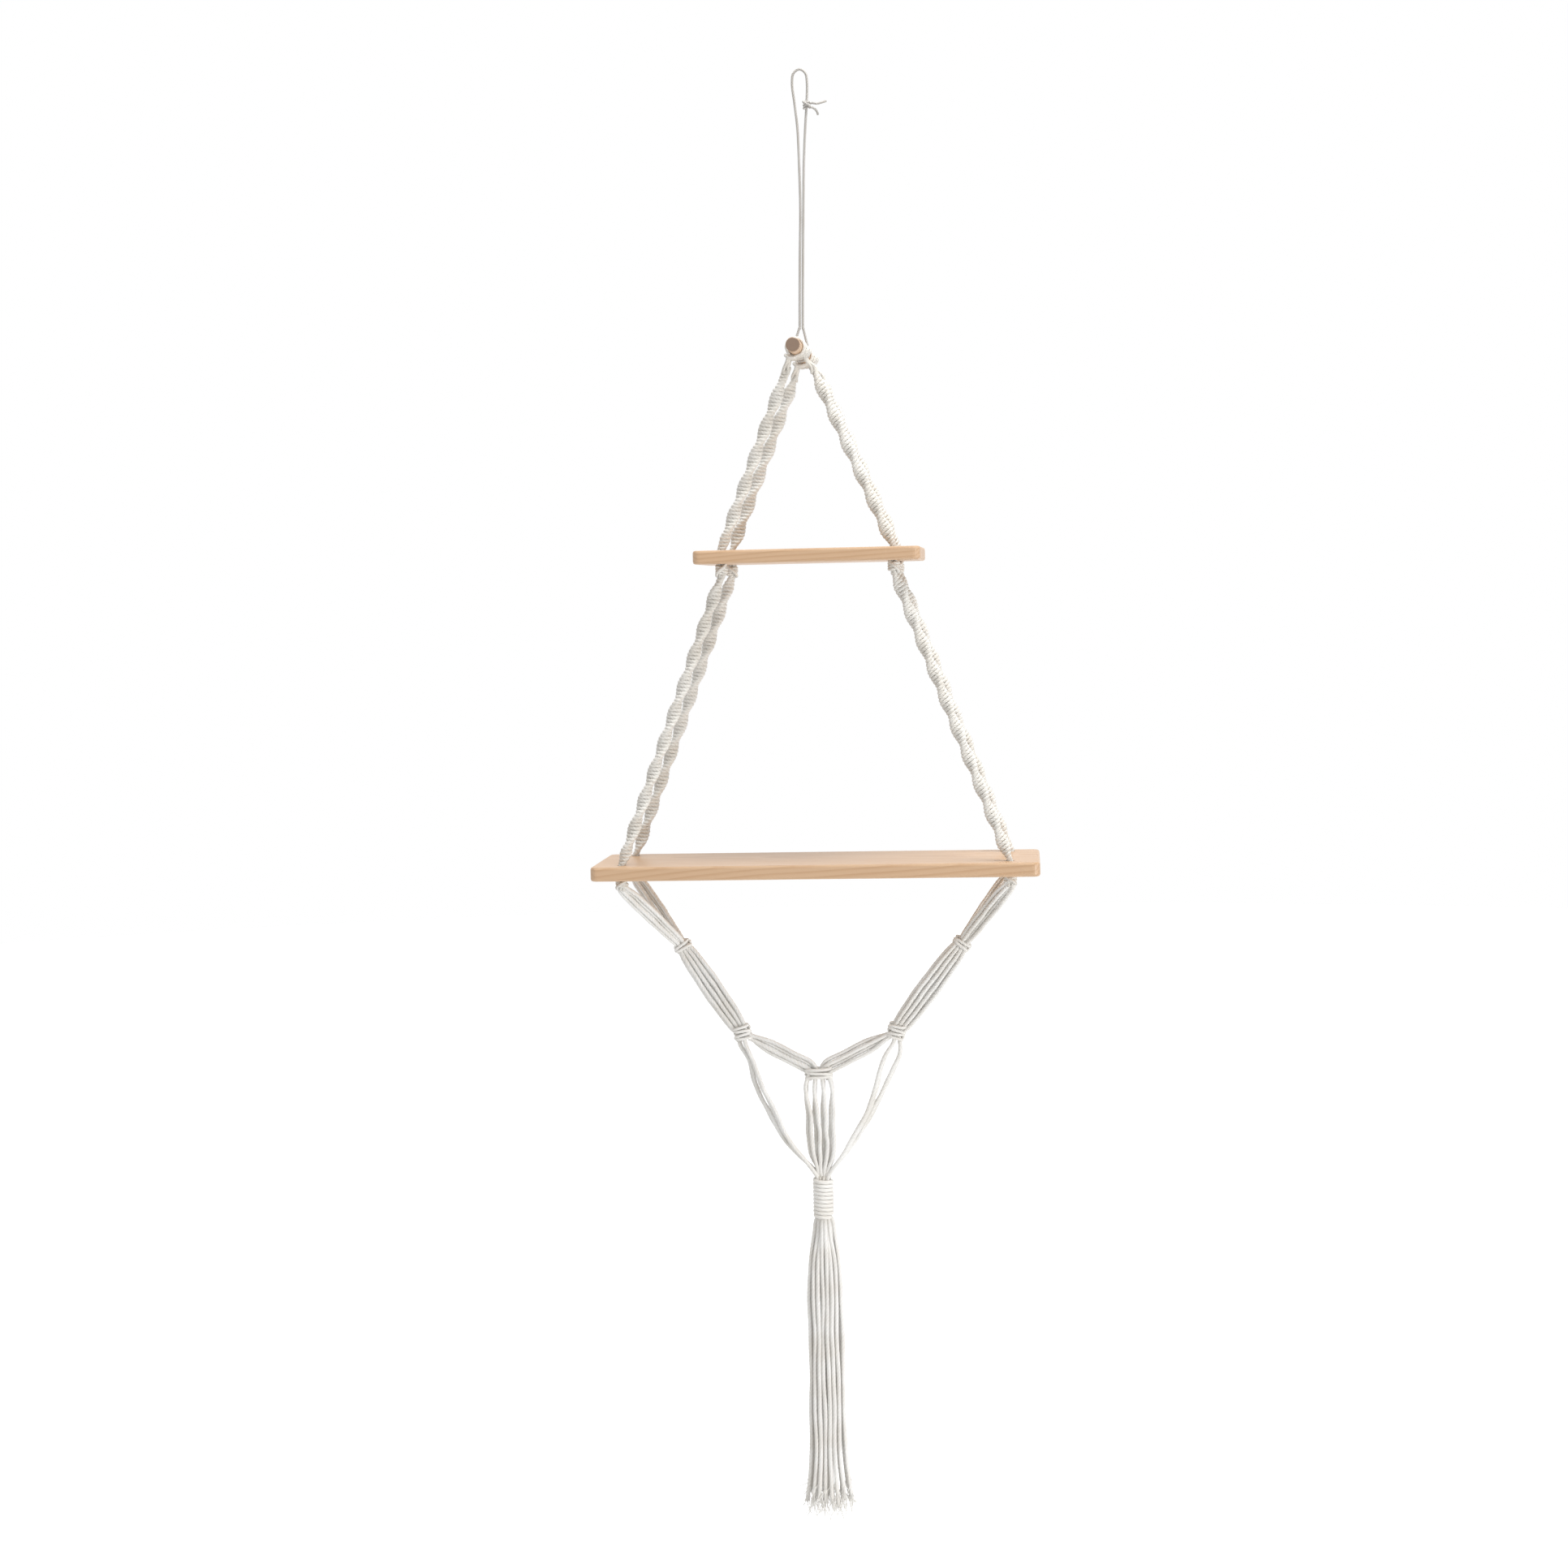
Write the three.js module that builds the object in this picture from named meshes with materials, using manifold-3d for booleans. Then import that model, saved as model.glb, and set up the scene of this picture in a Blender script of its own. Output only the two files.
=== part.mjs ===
import * as THREE from 'three';
import { mergeVertices } from 'three/addons/utils/BufferGeometryUtils.js';
import Module from 'manifold-3d';

// Hanging rope shelf: two pine boards on four knotted ropes that hang from a dowel and a string,
// with a net and a tassel of the same cords under the lower board.
// Millimetres. +X right, +Y back, +Z up. The origin is where the nail bears, inside the string's eye.

const wasm = await Module();
wasm.setup();

// Cords
const cordDiameter = 4;
const stringDiameter = 3;
const touchGap = 0.3;
const turnGap = 0.5;
const ropeDiameter = 11;
const ropeTaper = 12;
const bunchShare = 2.25;
const bunchDiameter = cordDiameter * bunchShare;
const openPitch = cordDiameter + touchGap;
const closePitchShare = 0.78;
const closePitch = cordDiameter * closePitchShare;

// String and dowel
const hangerDrop = 310;
const bightRise = 25.7;
const bightLean = 3.6;
const strandPitch = stringDiameter + turnGap;
const dowelDiameter = 16;
const dowelLength = 200;
const dowelShift = 5;
const dowelEdge = 1;
const eyeKnotDiameter = 9;
const eyeKnotHeight = 10;
const longTail = 22;
const shortTail = 17;

// Boards
const boardDepth = 150;
const boardEdge = 2.5;
const boardCorner = 8;
const upperLength = 251;
const upperThickness = 15;
const upperDrop = 219;
const upperShift = 2;
const upperHoleInset = 30;
const lowerLength = 500;
const lowerThickness = 16;
const lowerDrop = 334;
const lowerShift = 3;
const lowerHoleInset = 33;
const holeRowInset = 22;
const holeOverrun = 1;

// Ropes under the dowel
const ropeTopDrop = 18;
const leftTopOut = 12;
const rightTopOut = 20;
const upperKnotDiameter = 15;
const upperKnotHeight = 12;
const lowerKnotDiameter = 16;
const lowerKnotHeight = 9;

// Net under the lower board
const gatherDrop = 83;
const gatherLeftOut = 157;
const gatherRightOut = 161;
const gatherRadius = 10;
const forkDrop = 100;
const forkOut = 88;
const forkRadius = 11;
const centreDrop = 48;
const centreShift = 1.5;
const centreRadius = 12;
const centreSpread = 7.5;
const neckDrop = 114;
const neckShift = 1;
const neckDiameter = 15;
const neckLength = 52.5;
const collarDiameter = 22;
const collarHeight = 4;
const wrapTurns = 10;
const tasselRootDiameter = 24;
const tasselLength = 316;
const tasselUneven = 7;
const tasselWaist = 17.5;
const tasselFlare = 26;

// Faces of the curved pieces
const cordSides = 6;
const freeSides = 8;
const roundSides = 10;
const wrapSteps = 20;

// Heights and rows worked out from the sizes
const dowelZ = -hangerDrop;
const dowelRadius = dowelDiameter / 2;
const rowY = boardDepth / 2 - holeRowInset;
const tipRadius = bunchDiameter / 2;
const ropeTopZ = dowelZ - dowelRadius - ropeTopDrop;
const upperTopZ = dowelZ - upperDrop;
const upperBottomZ = upperTopZ - upperThickness;
const lowerTopZ = upperBottomZ - lowerDrop;
const lowerBottomZ = lowerTopZ - lowerThickness;
const gatherZ = lowerBottomZ - gatherDrop;
const forkZ = gatherZ - forkDrop;
const centreZ = forkZ - centreDrop;
const neckTopZ = centreZ - neckDrop;
const neckBottomZ = neckTopZ - neckLength;
const tasselZ = neckBottomZ - touchGap - tasselRootDiameter / 2;

const sides = [
  { name: 'left', sign: -1, topOut: leftTopOut, gatherOut: gatherLeftOut, slots: [0, 2] },
  { name: 'right', sign: 1, topOut: rightTopOut, gatherOut: gatherRightOut, slots: [1, 3] },
];
const rows = [
  { name: 'front', y: -rowY },
  { name: 'back', y: rowY },
];

// Looks of the real materials
const cordLook = { color: 0xece4d8, roughness: 0.9, metalness: 0 };
const stringLook = { color: 0xd8d2c8, roughness: 0.85, metalness: 0 };
const pineLook = { color: 0xd8b184, roughness: 0.65, metalness: 0 };
const dowelLook = { color: 0xc79a6b, roughness: 0.6, metalness: 0 };

const shelf = new THREE.Group();

function v(x, y, z) {
  return new THREE.Vector3(x, y, z);
}

// The corner radius of a ring whose flat sides clear a round piece of this radius
function clearOf(radius, count = roundSides) {
  return (radius + touchGap) / Math.cos(Math.PI / count);
}

function place(name, geometry, look, position = v(0, 0, 0)) {
  const mesh = new THREE.Mesh(geometry, new THREE.MeshStandardMaterial(look));
  mesh.name = name;
  mesh.position.copy(position);
  shelf.add(mesh);
  return mesh;
}

// A closed mesh with shared corners, as a solid that can be joined and cut
function solidOf(geometry) {
  const bare = geometry.clone();
  bare.deleteAttribute('normal');
  bare.deleteAttribute('uv');
  const merged = mergeVertices(bare);
  return new wasm.Manifold(new wasm.Mesh({
    numProp: 3,
    vertProperties: new Float32Array(merged.attributes.position.array),
    triVerts: new Uint32Array(merged.index.array),
  }));
}

function geometryOf(solid) {
  const mesh = solid.getMesh();
  const geometry = new THREE.BufferGeometry();
  geometry.setAttribute('position', new THREE.BufferAttribute(mesh.vertProperties, mesh.numProp));
  geometry.setIndex(new THREE.BufferAttribute(mesh.triVerts, 1));
  geometry.computeVertexNormals();
  return geometry;
}

function joined(geometries) {
  const solids = geometries.map(solidOf);
  return geometryOf(solids.reduce((whole, next) => whole.add(next)));
}

function cutBy(geometry, tools) {
  return geometryOf(tools.map(solidOf).reduce((whole, next) => whole.subtract(next), solidOf(geometry)));
}

function roundSection(diameter, count) {
  const corners = [];
  for (let i = 0; i < count; i += 1) {
    const angle = (i / count) * Math.PI * 2;
    corners.push(new THREE.Vector2(Math.cos(angle) * diameter / 2, Math.sin(angle) * diameter / 2));
  }
  return new THREE.Shape(corners);
}

// A cord along a smooth curve through its points, with flat ends
function cordAlong(points, diameter, count, steps) {
  const extrudePath = new THREE.CatmullRomCurve3(points, false, 'centripetal');
  return new THREE.ExtrudeGeometry(roundSection(diameter, count), {
    steps,
    bevelEnabled: false,
    extrudePath,
  });
}

// A solid of revolution about +Z from [radius, height] points that start and end on the axis
function turned(profile, count) {
  const points = profile.map(([radius, height]) => new THREE.Vector2(radius, height));
  return new THREE.LatheGeometry(points, count).rotateX(Math.PI / 2);
}

function turnedAlong(profile, count, direction) {
  const turn = new THREE.Quaternion().setFromUnitVectors(v(0, 0, 1), direction.clone().normalize());
  return turned(profile, count).applyQuaternion(turn);
}

// String of the hanger. The route is the cord's own, read off the photograph.
const stringRoute = [
  [-5.35, -284], [-4.9, -262], [-3.5, -205], [-1.85, -148], [-2.2, -104], [-3.3, -62], [-5.9, -36],
  [-8.2, -13], [-6.4, -2.6], [0.1, 1.5], [6.6, -2.6], [8.4, -13], [7.4, -37.5], [5.5, -62],
  [3, -104], [1.65, -148], [0, -205], [-1.4, -262], [-1.85, -284],
];
const stringSteps = 64;
const knotSteps = 12;

function addHanger() {
  const route = stringRoute.map(([x, z]) => v(x, 0, z));
  place('hanging_cord', cordAlong(route, stringDiameter, freeSides, stringSteps), stringLook);
  addEyeKnot();
  addBight();
}

// The string's two ends are knotted together on its right strand, with their tails left standing out
function addEyeKnot() {
  const [before, at, after] = [-1, 0, 1].map((step) => {
    const [x, z] = stringRoute[knotSteps + step];
    return v(x, 0, z);
  });
  const inner = clearOf(stringDiameter / 2);
  const outer = eyeKnotDiameter / 2;
  const half = eyeKnotHeight / 2;
  const chamfer = (outer - inner) / 2;
  const bead = turnedAlong([
    [inner, half], [inner, -half], [outer - chamfer, -half], [outer, -half + chamfer],
    [outer, half - chamfer], [outer - chamfer, half], [inner, half],
  ], roundSides, before.clone().sub(after));
  const start = outer - chamfer;
  const upTail = cordAlong([
    v(start, 0, chamfer / 2), v(longTail / 2, 0, chamfer), v(longTail, 0, chamfer * 2),
  ], stringDiameter * 0.8, cordSides, 4);
  const downTail = cordAlong([
    v(start, 0, -chamfer / 2), v(shortTail / 2, 0, -half), v(shortTail - half / 2, 0, -half * 2),
  ], stringDiameter * 0.8, cordSides, 4);
  place('hanging_cord_knot', joined([bead, upTail, downTail]), stringLook, at);
}

// The string's lower bight: two strands that open round the dowel and pass under it
function addBight() {
  const count = 12;
  const radius = (dowelRadius + stringDiameter / 2 + turnGap) / Math.cos(Math.PI / count);
  const top = bightRise - touchGap;
  const middle = dowelShift - bightLean;
  const points = [v(middle - strandPitch / 2, 0, top), v(middle - strandPitch / 2, 0, top - touchGap * 2)];
  const open = Math.acos(radius / bightRise);
  for (let i = 0; i <= count; i += 1) {
    const angle = Math.PI / 2 + open + (i / count) * (Math.PI * 2 - open * 2);
    points.push(v(Math.cos(angle) * radius, 0, Math.sin(angle) * radius));
  }
  points.push(v(middle + strandPitch / 2, 0, top - touchGap * 2), v(middle + strandPitch / 2, 0, top));
  const bight = cordAlong(points, stringDiameter, freeSides, 22);
  place('dowel_sling', bight, stringLook, v(-dowelShift, 0, dowelZ));
}

function addDowel() {
  const half = dowelLength / 2;
  const dowel = turned([
    [0, -half], [dowelRadius - dowelEdge, -half], [dowelRadius, -half + dowelEdge],
    [dowelRadius, half - dowelEdge], [dowelRadius - dowelEdge, half], [0, half],
  ], roundSides * 2).rotateX(-Math.PI / 2);
  place('dowel', dowel, dowelLook, v(-dowelShift, 0, dowelZ));
}

// A hitch's two turns round the dowel, side by side, about +Y
function hitchTurns() {
  const inner = clearOf(dowelRadius);
  const outer = inner + cordDiameter;
  const side = openPitch / 2 + cordDiameter / 2;
  const crest = openPitch / 2;
  const profile = [
    [inner, crest], [inner, -crest], [inner + cordDiameter / 2, -side], [outer, -crest],
    [inner + cordDiameter * 0.7, 0], [outer, crest], [inner + cordDiameter / 2, side], [inner, crest],
  ].map(([radius, y]) => new THREE.Vector2(radius, y));
  return new THREE.LatheGeometry(profile, roundSides);
}

// A hitch's leg: from under the dowel, down and across to its own place in the bunch
function hitchLeg(side, slotY, legSign, end) {
  const radius = (dowelRadius + touchGap + cordDiameter / 2) * Math.SQRT1_2;
  const start = v(side.sign * radius, slotY + legSign * openPitch / 2, -radius);
  const bend = v((start.x + end.x) / 2, start.y, -radius - cordDiameter);
  const above = end.clone().add(v(0, 0, cordDiameter / 2));
  return cordAlong([start, bend, above, end], cordDiameter, cordSides, 3);
}

// The hitch's bight lies across its two turns
function hitchBar(side, slotY) {
  const reach = dowelRadius + touchGap + cordDiameter;
  const length = openPitch + cordDiameter / 2;
  const bar = new THREE.CylinderGeometry(cordDiameter / 2, cordDiameter / 2, length, cordSides);
  return bar.translate(side.sign * reach, slotY, 0);
}

function addHitches(side, row) {
  const slotPitch = openPitch * 2;
  const endZ = ropeTopZ - dowelZ + tipRadius + touchGap;
  side.slots.forEach((slot, index) => {
    const slotY = (slot - 1.5) * slotPitch;
    const endY = (index - 0.5) * openPitch;
    const legs = [-1, 1].map((legSign) => {
      const end = v(side.sign * side.topOut + legSign * openPitch / 2, endY, endZ);
      return hitchLeg(side, slotY, legSign, end);
    });
    const turns = hitchTurns().translate(0, slotY, 0);
    const hitch = joined([turns, ...legs, hitchBar(side, slotY)]);
    place(`${row.name}_${side.name}_hitch_${index + 1}`, hitch, cordLook, v(-dowelShift, row.y, dowelZ));
  });
}

// A knotted rope of four cords between two points, drawn in to the bunched cords at its round ends
function addRope(name, top, bottom) {
  const length = top.distanceTo(bottom);
  const round = tipRadius * Math.SQRT1_2;
  const radius = ropeDiameter / 2;
  const rope = turnedAlong([
    [0, -tipRadius], [round, -round], [tipRadius, 0], [radius, ropeTaper], [radius, length - ropeTaper],
    [tipRadius, length], [round, length + round], [0, length + tipRadius],
  ], roundSides, bottom.clone().sub(top));
  place(name, rope, cordLook, top);
}

// The bunched cords that fill a board's hole, and the knot under the board that carries it
function addStopKnot(name, position, thickness, diameter, height) {
  const low = -thickness - touchGap;
  const neck = tipRadius + (diameter / 2 - tipRadius) / 2;
  const knot = turned([
    [0, low - height], [neck, low - height], [diameter / 2, low - height / 2],
    [neck, low], [tipRadius, low], [tipRadius, 0], [0, 0],
  ], roundSides);
  place(name, knot, cordLook, position);
}

// A board with rounded corners and edges and four holes for the ropes. Its top is at height zero.
function boardGeometry(length, thickness, holeX) {
  const x = length / 2;
  const y = boardDepth / 2;
  const outline = new THREE.Shape();
  outline.absarc(x - boardCorner, y - boardCorner, boardCorner, 0, Math.PI / 2);
  outline.absarc(boardCorner - x, y - boardCorner, boardCorner, Math.PI / 2, Math.PI);
  outline.absarc(boardCorner - x, boardCorner - y, boardCorner, Math.PI, Math.PI * 1.5);
  outline.absarc(x - boardCorner, boardCorner - y, boardCorner, Math.PI * 1.5, Math.PI * 2);
  const board = new THREE.ExtrudeGeometry(outline, {
    depth: thickness - boardEdge * 2,
    bevelThickness: boardEdge,
    bevelSize: boardEdge,
    bevelOffset: -boardEdge,
    bevelSegments: 2,
    curveSegments: 3,
  }).translate(0, 0, boardEdge - thickness);
  const radius = clearOf(tipRadius);
  const holes = [];
  for (const hole of [[-holeX, -rowY], [holeX, -rowY], [-holeX, rowY], [holeX, rowY]]) {
    const drill = new THREE.CylinderGeometry(radius, radius, thickness + holeOverrun * 2, roundSides);
    holes.push(drill.rotateX(Math.PI / 2).translate(hole[0], hole[1], -thickness / 2));
  }
  return cutBy(board, holes);
}

// Places of a group's cords across it, as multiples of the pitch
const squareLayout = [[-0.5, -0.5], [0.5, -0.5], [-0.5, 0.5], [0.5, 0.5]];
const flatLayout = [[-1.5, -0.35], [0.5, -0.35], [-0.5, 0.35], [1.5, 0.35]];
const columnLayout = [[0, -1.5], [0, -0.5], [0, 0.5], [0, 1.5]];
const doubleLayout = [
  [-1.5, -0.5], [-0.5, -0.5], [0.5, -0.5], [1.5, -0.5],
  [-1.5, 0.5], [-0.5, 0.5], [0.5, 0.5], [1.5, 0.5],
];

// One place along a group of cords: its middle, its direction, and where the cords lie across it
function station(at, along, layout, pitch = openPitch) {
  const forward = along.clone().normalize();
  const across = v(forward.z, 0, -forward.x).normalize();
  return { at, forward, across, deep: forward.clone().cross(across), layout, pitch };
}

function cordAt({ at, across, deep, layout, pitch }, index) {
  const [u, w] = layout[index];
  return at.clone().addScaledVector(across, u * pitch).addScaledVector(deep, w * pitch);
}

// Cords side by side through the same stations, squeezed into each other at the first two
function cordGroup(stations, steps) {
  return joined(stations[0].layout.map((place, index) => {
    const points = stations.map((one) => cordAt(one, index));
    return cordAlong(points, cordDiameter, cordSides, steps);
  }));
}

// A straight group from one face to another, with square ends and one station halfway
function straightGroup(from, to, endLayout, middleLayout, middlePitch, steps) {
  const along = to.clone().sub(from).normalize();
  return cordGroup([
    station(from, along, endLayout, closePitch),
    station(from.clone().addScaledVector(along, cordDiameter), along, endLayout, closePitch),
    station(from.clone().lerp(to, 0.5), along, middleLayout, middlePitch),
    station(to.clone().addScaledVector(along, -cordDiameter), along, endLayout),
    station(to, along, endLayout),
  ], steps);
}

// A knot in the net: a soft ball a little narrower at its waist, that stays inside its own sphere
const netKnotShares = [
  [0, -0.97], [0.5, -0.84], [0.87, -0.48], [0.95, -0.15], [0.95, 0.15], [0.87, 0.48], [0.5, 0.84], [0, 0.97],
];

function addNetKnot(name, radius, position) {
  const profile = netKnotShares.map(([out, up]) => [out * radius, up * radius]);
  place(name, turned(profile, roundSides + 2), cordLook, position);
}

// The point on a knot's far side of the gap, towards another point
function faceOf(middle, radius, towards) {
  const along = towards.clone().sub(middle).normalize();
  return middle.clone().addScaledVector(along, radius + touchGap);
}

const centreMiddle = v(-centreShift, 0, centreZ);

// The four cords that leave a stop knot straight down and gather at the net's first knot
function addFan(name, knotBottom, gather) {
  const face = faceOf(gather, gatherRadius, knotBottom);
  const along = face.clone().sub(knotBottom).normalize();
  const down = v(0, 0, -1);
  place(name, cordGroup([
    station(knotBottom, down, squareLayout, closePitch),
    station(knotBottom.clone().addScaledVector(down, cordDiameter), down, squareLayout, closePitch),
    station(knotBottom.clone().lerp(face, 0.5), along, flatLayout, openPitch),
    station(face.clone().addScaledVector(along, -cordDiameter), along, squareLayout),
    station(face, along, squareLayout),
  ], 5), cordLook);
}

function addNetSide(side) {
  const gather = v(lowerShift + side.sign * side.gatherOut, 0, gatherZ);
  const fork = v(side.sign * forkOut, 0, forkZ);
  const holeX = lowerShift + side.sign * (lowerLength / 2 - lowerHoleInset);
  const fanTopZ = lowerBottomZ - lowerKnotHeight - touchGap * 2;
  rows.forEach((row) => addFan(`${row.name}_${side.name}_fan`, v(holeX, row.y, fanTopZ), gather));
  addNetKnot(`${side.name}_gather_knot`, gatherRadius, gather);
  const bandTop = faceOf(gather, gatherRadius, fork);
  const bandEnd = faceOf(fork, forkRadius, gather);
  const band = straightGroup(bandTop, bandEnd, doubleLayout, doubleLayout, openPitch, 3);
  place(`${side.name}_band`, band, cordLook);
  addNetKnot(`${side.name}_fork_knot`, forkRadius, fork);
  const innerTop = faceOf(fork, forkRadius, centreMiddle);
  const innerEnd = faceOf(centreMiddle, centreRadius, fork);
  const inner = straightGroup(innerTop, innerEnd, squareLayout, flatLayout, openPitch, 4);
  place(`${side.name}_inner_band`, inner, cordLook);
  addSideStrands(side, fork);
}

// Slack cords bow from the fork to the side of the neck, the front two nearer the middle: shares of the way
// across and down
const leftInnerShares = [[0.13, 0.14], [0.26, 0.34], [0.46, 0.57], [0.69, 0.79]];
const leftOuterShares = [[0.09, 0.14], [0.2, 0.34], [0.41, 0.57], [0.65, 0.79]];
const rightInnerShares = [[0.16, 0.105], [0.235, 0.21], [0.28, 0.335], [0.415, 0.52], [0.71, 0.78]];
const rightOuterShares = [[-0.035, 0.1], [0.17, 0.31], [0.385, 0.52], [0.69, 0.78]];

// Two cords, one behind the other, that bow from the fork's lower face to the neck's upper face
function bowedPair(start, end, bowShares, layout) {
  const down = v(0, 0, -1);
  const line = [start, start.clone().addScaledVector(down, cordDiameter)];
  for (const [across, drop] of bowShares) {
    line.push(v(start.x + (end.x - start.x) * across, 0, start.z + (end.z - start.z) * drop));
  }
  line.push(end.clone().addScaledVector(down, -cordDiameter * 1.5), end);
  const pitches = line.map((_, place) => (place < 2 ? closePitch : openPitch));
  return cordGroup(line.map((at, place) => station(at, down, layout, pitches[place])), 8);
}

function addSideStrands(side, fork) {
  const [inner, outer] = side.sign < 0 ? [leftInnerShares, leftOuterShares] : [rightInnerShares, rightOuterShares];
  const start = fork.clone().add(v(0, 0, -forkRadius - touchGap));
  const end = v(neckShift + side.sign * openPitch * 2.5, 0, neckTopZ + touchGap);
  const front = bowedPair(start, end, inner, columnLayout.slice(0, 2));
  const back = bowedPair(start, end, outer, columnLayout.slice(2));
  place(`${side.name}_side_strands`, joined([front, back]), cordLook);
}

// Eight cords hang from the centre knot to the neck, four in front and four behind
function addCentreStrands() {
  const down = v(0, 0, -1);
  const top = centreMiddle.clone().addScaledVector(down, centreRadius + touchGap);
  const end = v(neckShift, 0, neckTopZ + touchGap);
  place('centre_strands', cordGroup([
    station(top, down, doubleLayout, closePitch),
    station(top.clone().addScaledVector(down, cordDiameter), down, doubleLayout, closePitch),
    station(top.clone().lerp(end, 0.25), down, doubleLayout, centreSpread),
    station(top.clone().lerp(end, 0.8), down, doubleLayout, (centreSpread + openPitch) / 2),
    station(end.clone().addScaledVector(down, -cordDiameter), down, doubleLayout),
    station(end, down, doubleLayout),
  ], 5), cordLook);
}

function addNeck() {
  const radius = neckDiameter / 2;
  const core = turned([
    [0, -neckLength], [radius, -neckLength], [radius, -collarHeight], [collarDiameter / 2, -collarHeight / 2],
    [collarDiameter / 2, 0], [0, 0],
  ], roundSides + 4);
  place('neck_core', core, cordLook, v(neckShift, 0, neckTopZ));
  const wrap = windingGeometry(wrapPoints(), cordDiameter / 2, cordSides);
  place('neck_wrap', wrap, cordLook, v(neckShift, 0, neckTopZ - collarHeight - touchGap - cordDiameter / 2));
}

// Centre line of the cord that binds the neck, from the top turn down, with straight ends
function wrapPoints() {
  const radius = neckDiameter / 2 + touchGap + cordDiameter / 2;
  const pitch = cordDiameter + turnGap;
  const points = [];
  for (let i = 0; i <= wrapTurns * wrapSteps; i += 1) {
    const turn = i / wrapSteps;
    const angle = turn * Math.PI * 2;
    points.push(v(Math.cos(angle) * radius, Math.sin(angle) * radius, -pitch * turn));
  }
  const first = points[0].clone().sub(points[1]).normalize();
  const last = points[points.length - 1].clone().sub(points[points.length - 2]).normalize();
  points.unshift(points[0].clone().addScaledVector(first, cordDiameter));
  points.push(points[points.length - 1].clone().addScaledVector(last, cordDiameter));
  return points;
}

// The least gap between two stretches of a winding that lie more than half a turn apart
function leastGap(points, diameter) {
  let least = Infinity;
  const apart = wrapSteps / 2;
  points.forEach((point, i) => {
    for (let j = i + apart; j < points.length; j += 1) least = Math.min(least, point.distanceTo(points[j]));
  });
  return least - diameter;
}

// A tube round an upright winding's centre line, one ring of corners for each point
function windingGeometry(points, radius, count) {
  const corners = [];
  points.forEach((point, i) => {
    const before = points[Math.max(i - 1, 0)];
    const after = points[Math.min(i + 1, points.length - 1)];
    const along = after.clone().sub(before).normalize();
    const out = v(0, 0, 1).cross(along).normalize();
    const up = along.clone().cross(out);
    for (let k = 0; k < count; k += 1) {
      const angle = (k / count) * Math.PI * 2;
      const corner = point.clone().addScaledVector(out, Math.cos(angle) * radius);
      corners.push(corner.addScaledVector(up, Math.sin(angle) * radius));
    }
  });
  const faces = [];
  for (let i = 0; i < points.length - 1; i += 1) {
    for (let k = 0; k < count; k += 1) {
      const a = i * count + k;
      const b = i * count + (k + 1) % count;
      faces.push(a, b, b + count, a, b + count, a + count);
    }
  }
  const end = (points.length - 1) * count;
  for (let k = 1; k < count - 1; k += 1) {
    faces.push(0, k + 1, k);
    faces.push(end, end + k, end + k + 1);
  }
  const geometry = new THREE.BufferGeometry().setFromPoints(corners);
  geometry.setIndex(faces);
  geometry.computeVertexNormals();
  return geometry;
}

// Places of the tassel's eight pairs of cords under its root, as [across, deep] multiples of their pitches
const pairLayout = [[0, -1.5], [-0.5, -0.5], [0.5, -0.5], [-1, 0.5], [0, 0.5], [1, 0.5], [-0.5, 1.5], [0.5, 1.5]];

// How far the tassel has opened at each share of its length
const openingShares = [[0.09, 0.78], [0.5, 0.84], [0.84, 0.88], [1, 1]];

// Each cord's own end: its share of the uneven length, and its shares of the flare across and deep
const endShares = [
  [0.2, -0.3, -0.9], [-0.4, 0.25, -0.85], [0.6, -0.75, -0.35], [0.1, -0.45, -0.2],
  [0.9, 0.45, -0.3], [-0.2, 0.8, -0.4], [0.5, -1, 0.15], [-0.9, -0.7, 0.3],
  [0.3, -0.15, 0.2], [0.7, 0.2, 0.1], [-0.6, 0.68, 0.2], [0, 1, 0.25],
  [0.8, -0.5, 0.75], [-0.1, -0.1, 0.95], [0.4, 0.35, 0.8], [1, 0.75, 0.7],
];

function tasselCord(start, ending) {
  const [late, across, deep] = ending;
  const length = tasselLength + late * tasselUneven;
  const end = v(across * tasselFlare, deep * tasselFlare, 0);
  const narrow = v(across * tasselWaist, deep * tasselWaist, 0);
  const points = [start, start.clone().add(v(0, 0, -cordDiameter))];
  for (const [down, open] of openingShares) {
    const target = down < 1 ? narrow.clone().lerp(end, open - openingShares[0][1]) : end;
    points.push(v(target.x, target.y, start.z - length * down));
  }
  return cordAlong(points, cordDiameter, freeSides, 5);
}

function addTassel() {
  const radius = tasselRootDiameter / 2;
  const round = radius * Math.SQRT1_2;
  const root = turned([[0, 0], [radius, 0], [round, round], [0, radius]], roundSides + 2);
  const middle = v(neckShift, 0, tasselZ);
  place('tassel_root', root, cordLook, middle);
  const down = v(0, 0, -1);
  const pairPlaces = [[-0.5, 0], [0.5, 0]];
  pairLayout.forEach(([across, deep], index) => {
    const top = station(v(across * openPitch * 2, deep * openPitch, -touchGap), down, pairPlaces, closePitch);
    const cords = pairPlaces.map((_, which) => tasselCord(cordAt(top, which), endShares[index * 2 + which]));
    place(`tassel_pair_${index + 1}`, joined(cords), cordLook, middle);
  });
}

function addUpperRopes() {
  const holeX = upperLength / 2 - upperHoleInset;
  for (const row of rows) {
    for (const side of sides) {
      const top = v(-dowelShift + side.sign * side.topOut, row.y, ropeTopZ);
      const hole = v(upperShift + side.sign * holeX, row.y, upperTopZ);
      const bottom = hole.clone().add(v(0, 0, tipRadius + touchGap));
      addHitches(side, row);
      addRope(`${row.name}_${side.name}_upper_rope`, top, bottom);
      addStopKnot(`${row.name}_${side.name}_upper_knot`, hole, upperThickness, upperKnotDiameter, upperKnotHeight);
    }
  }
  place('upper_board', boardGeometry(upperLength, upperThickness, holeX), pineLook, v(upperShift, 0, upperTopZ));
}

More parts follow.
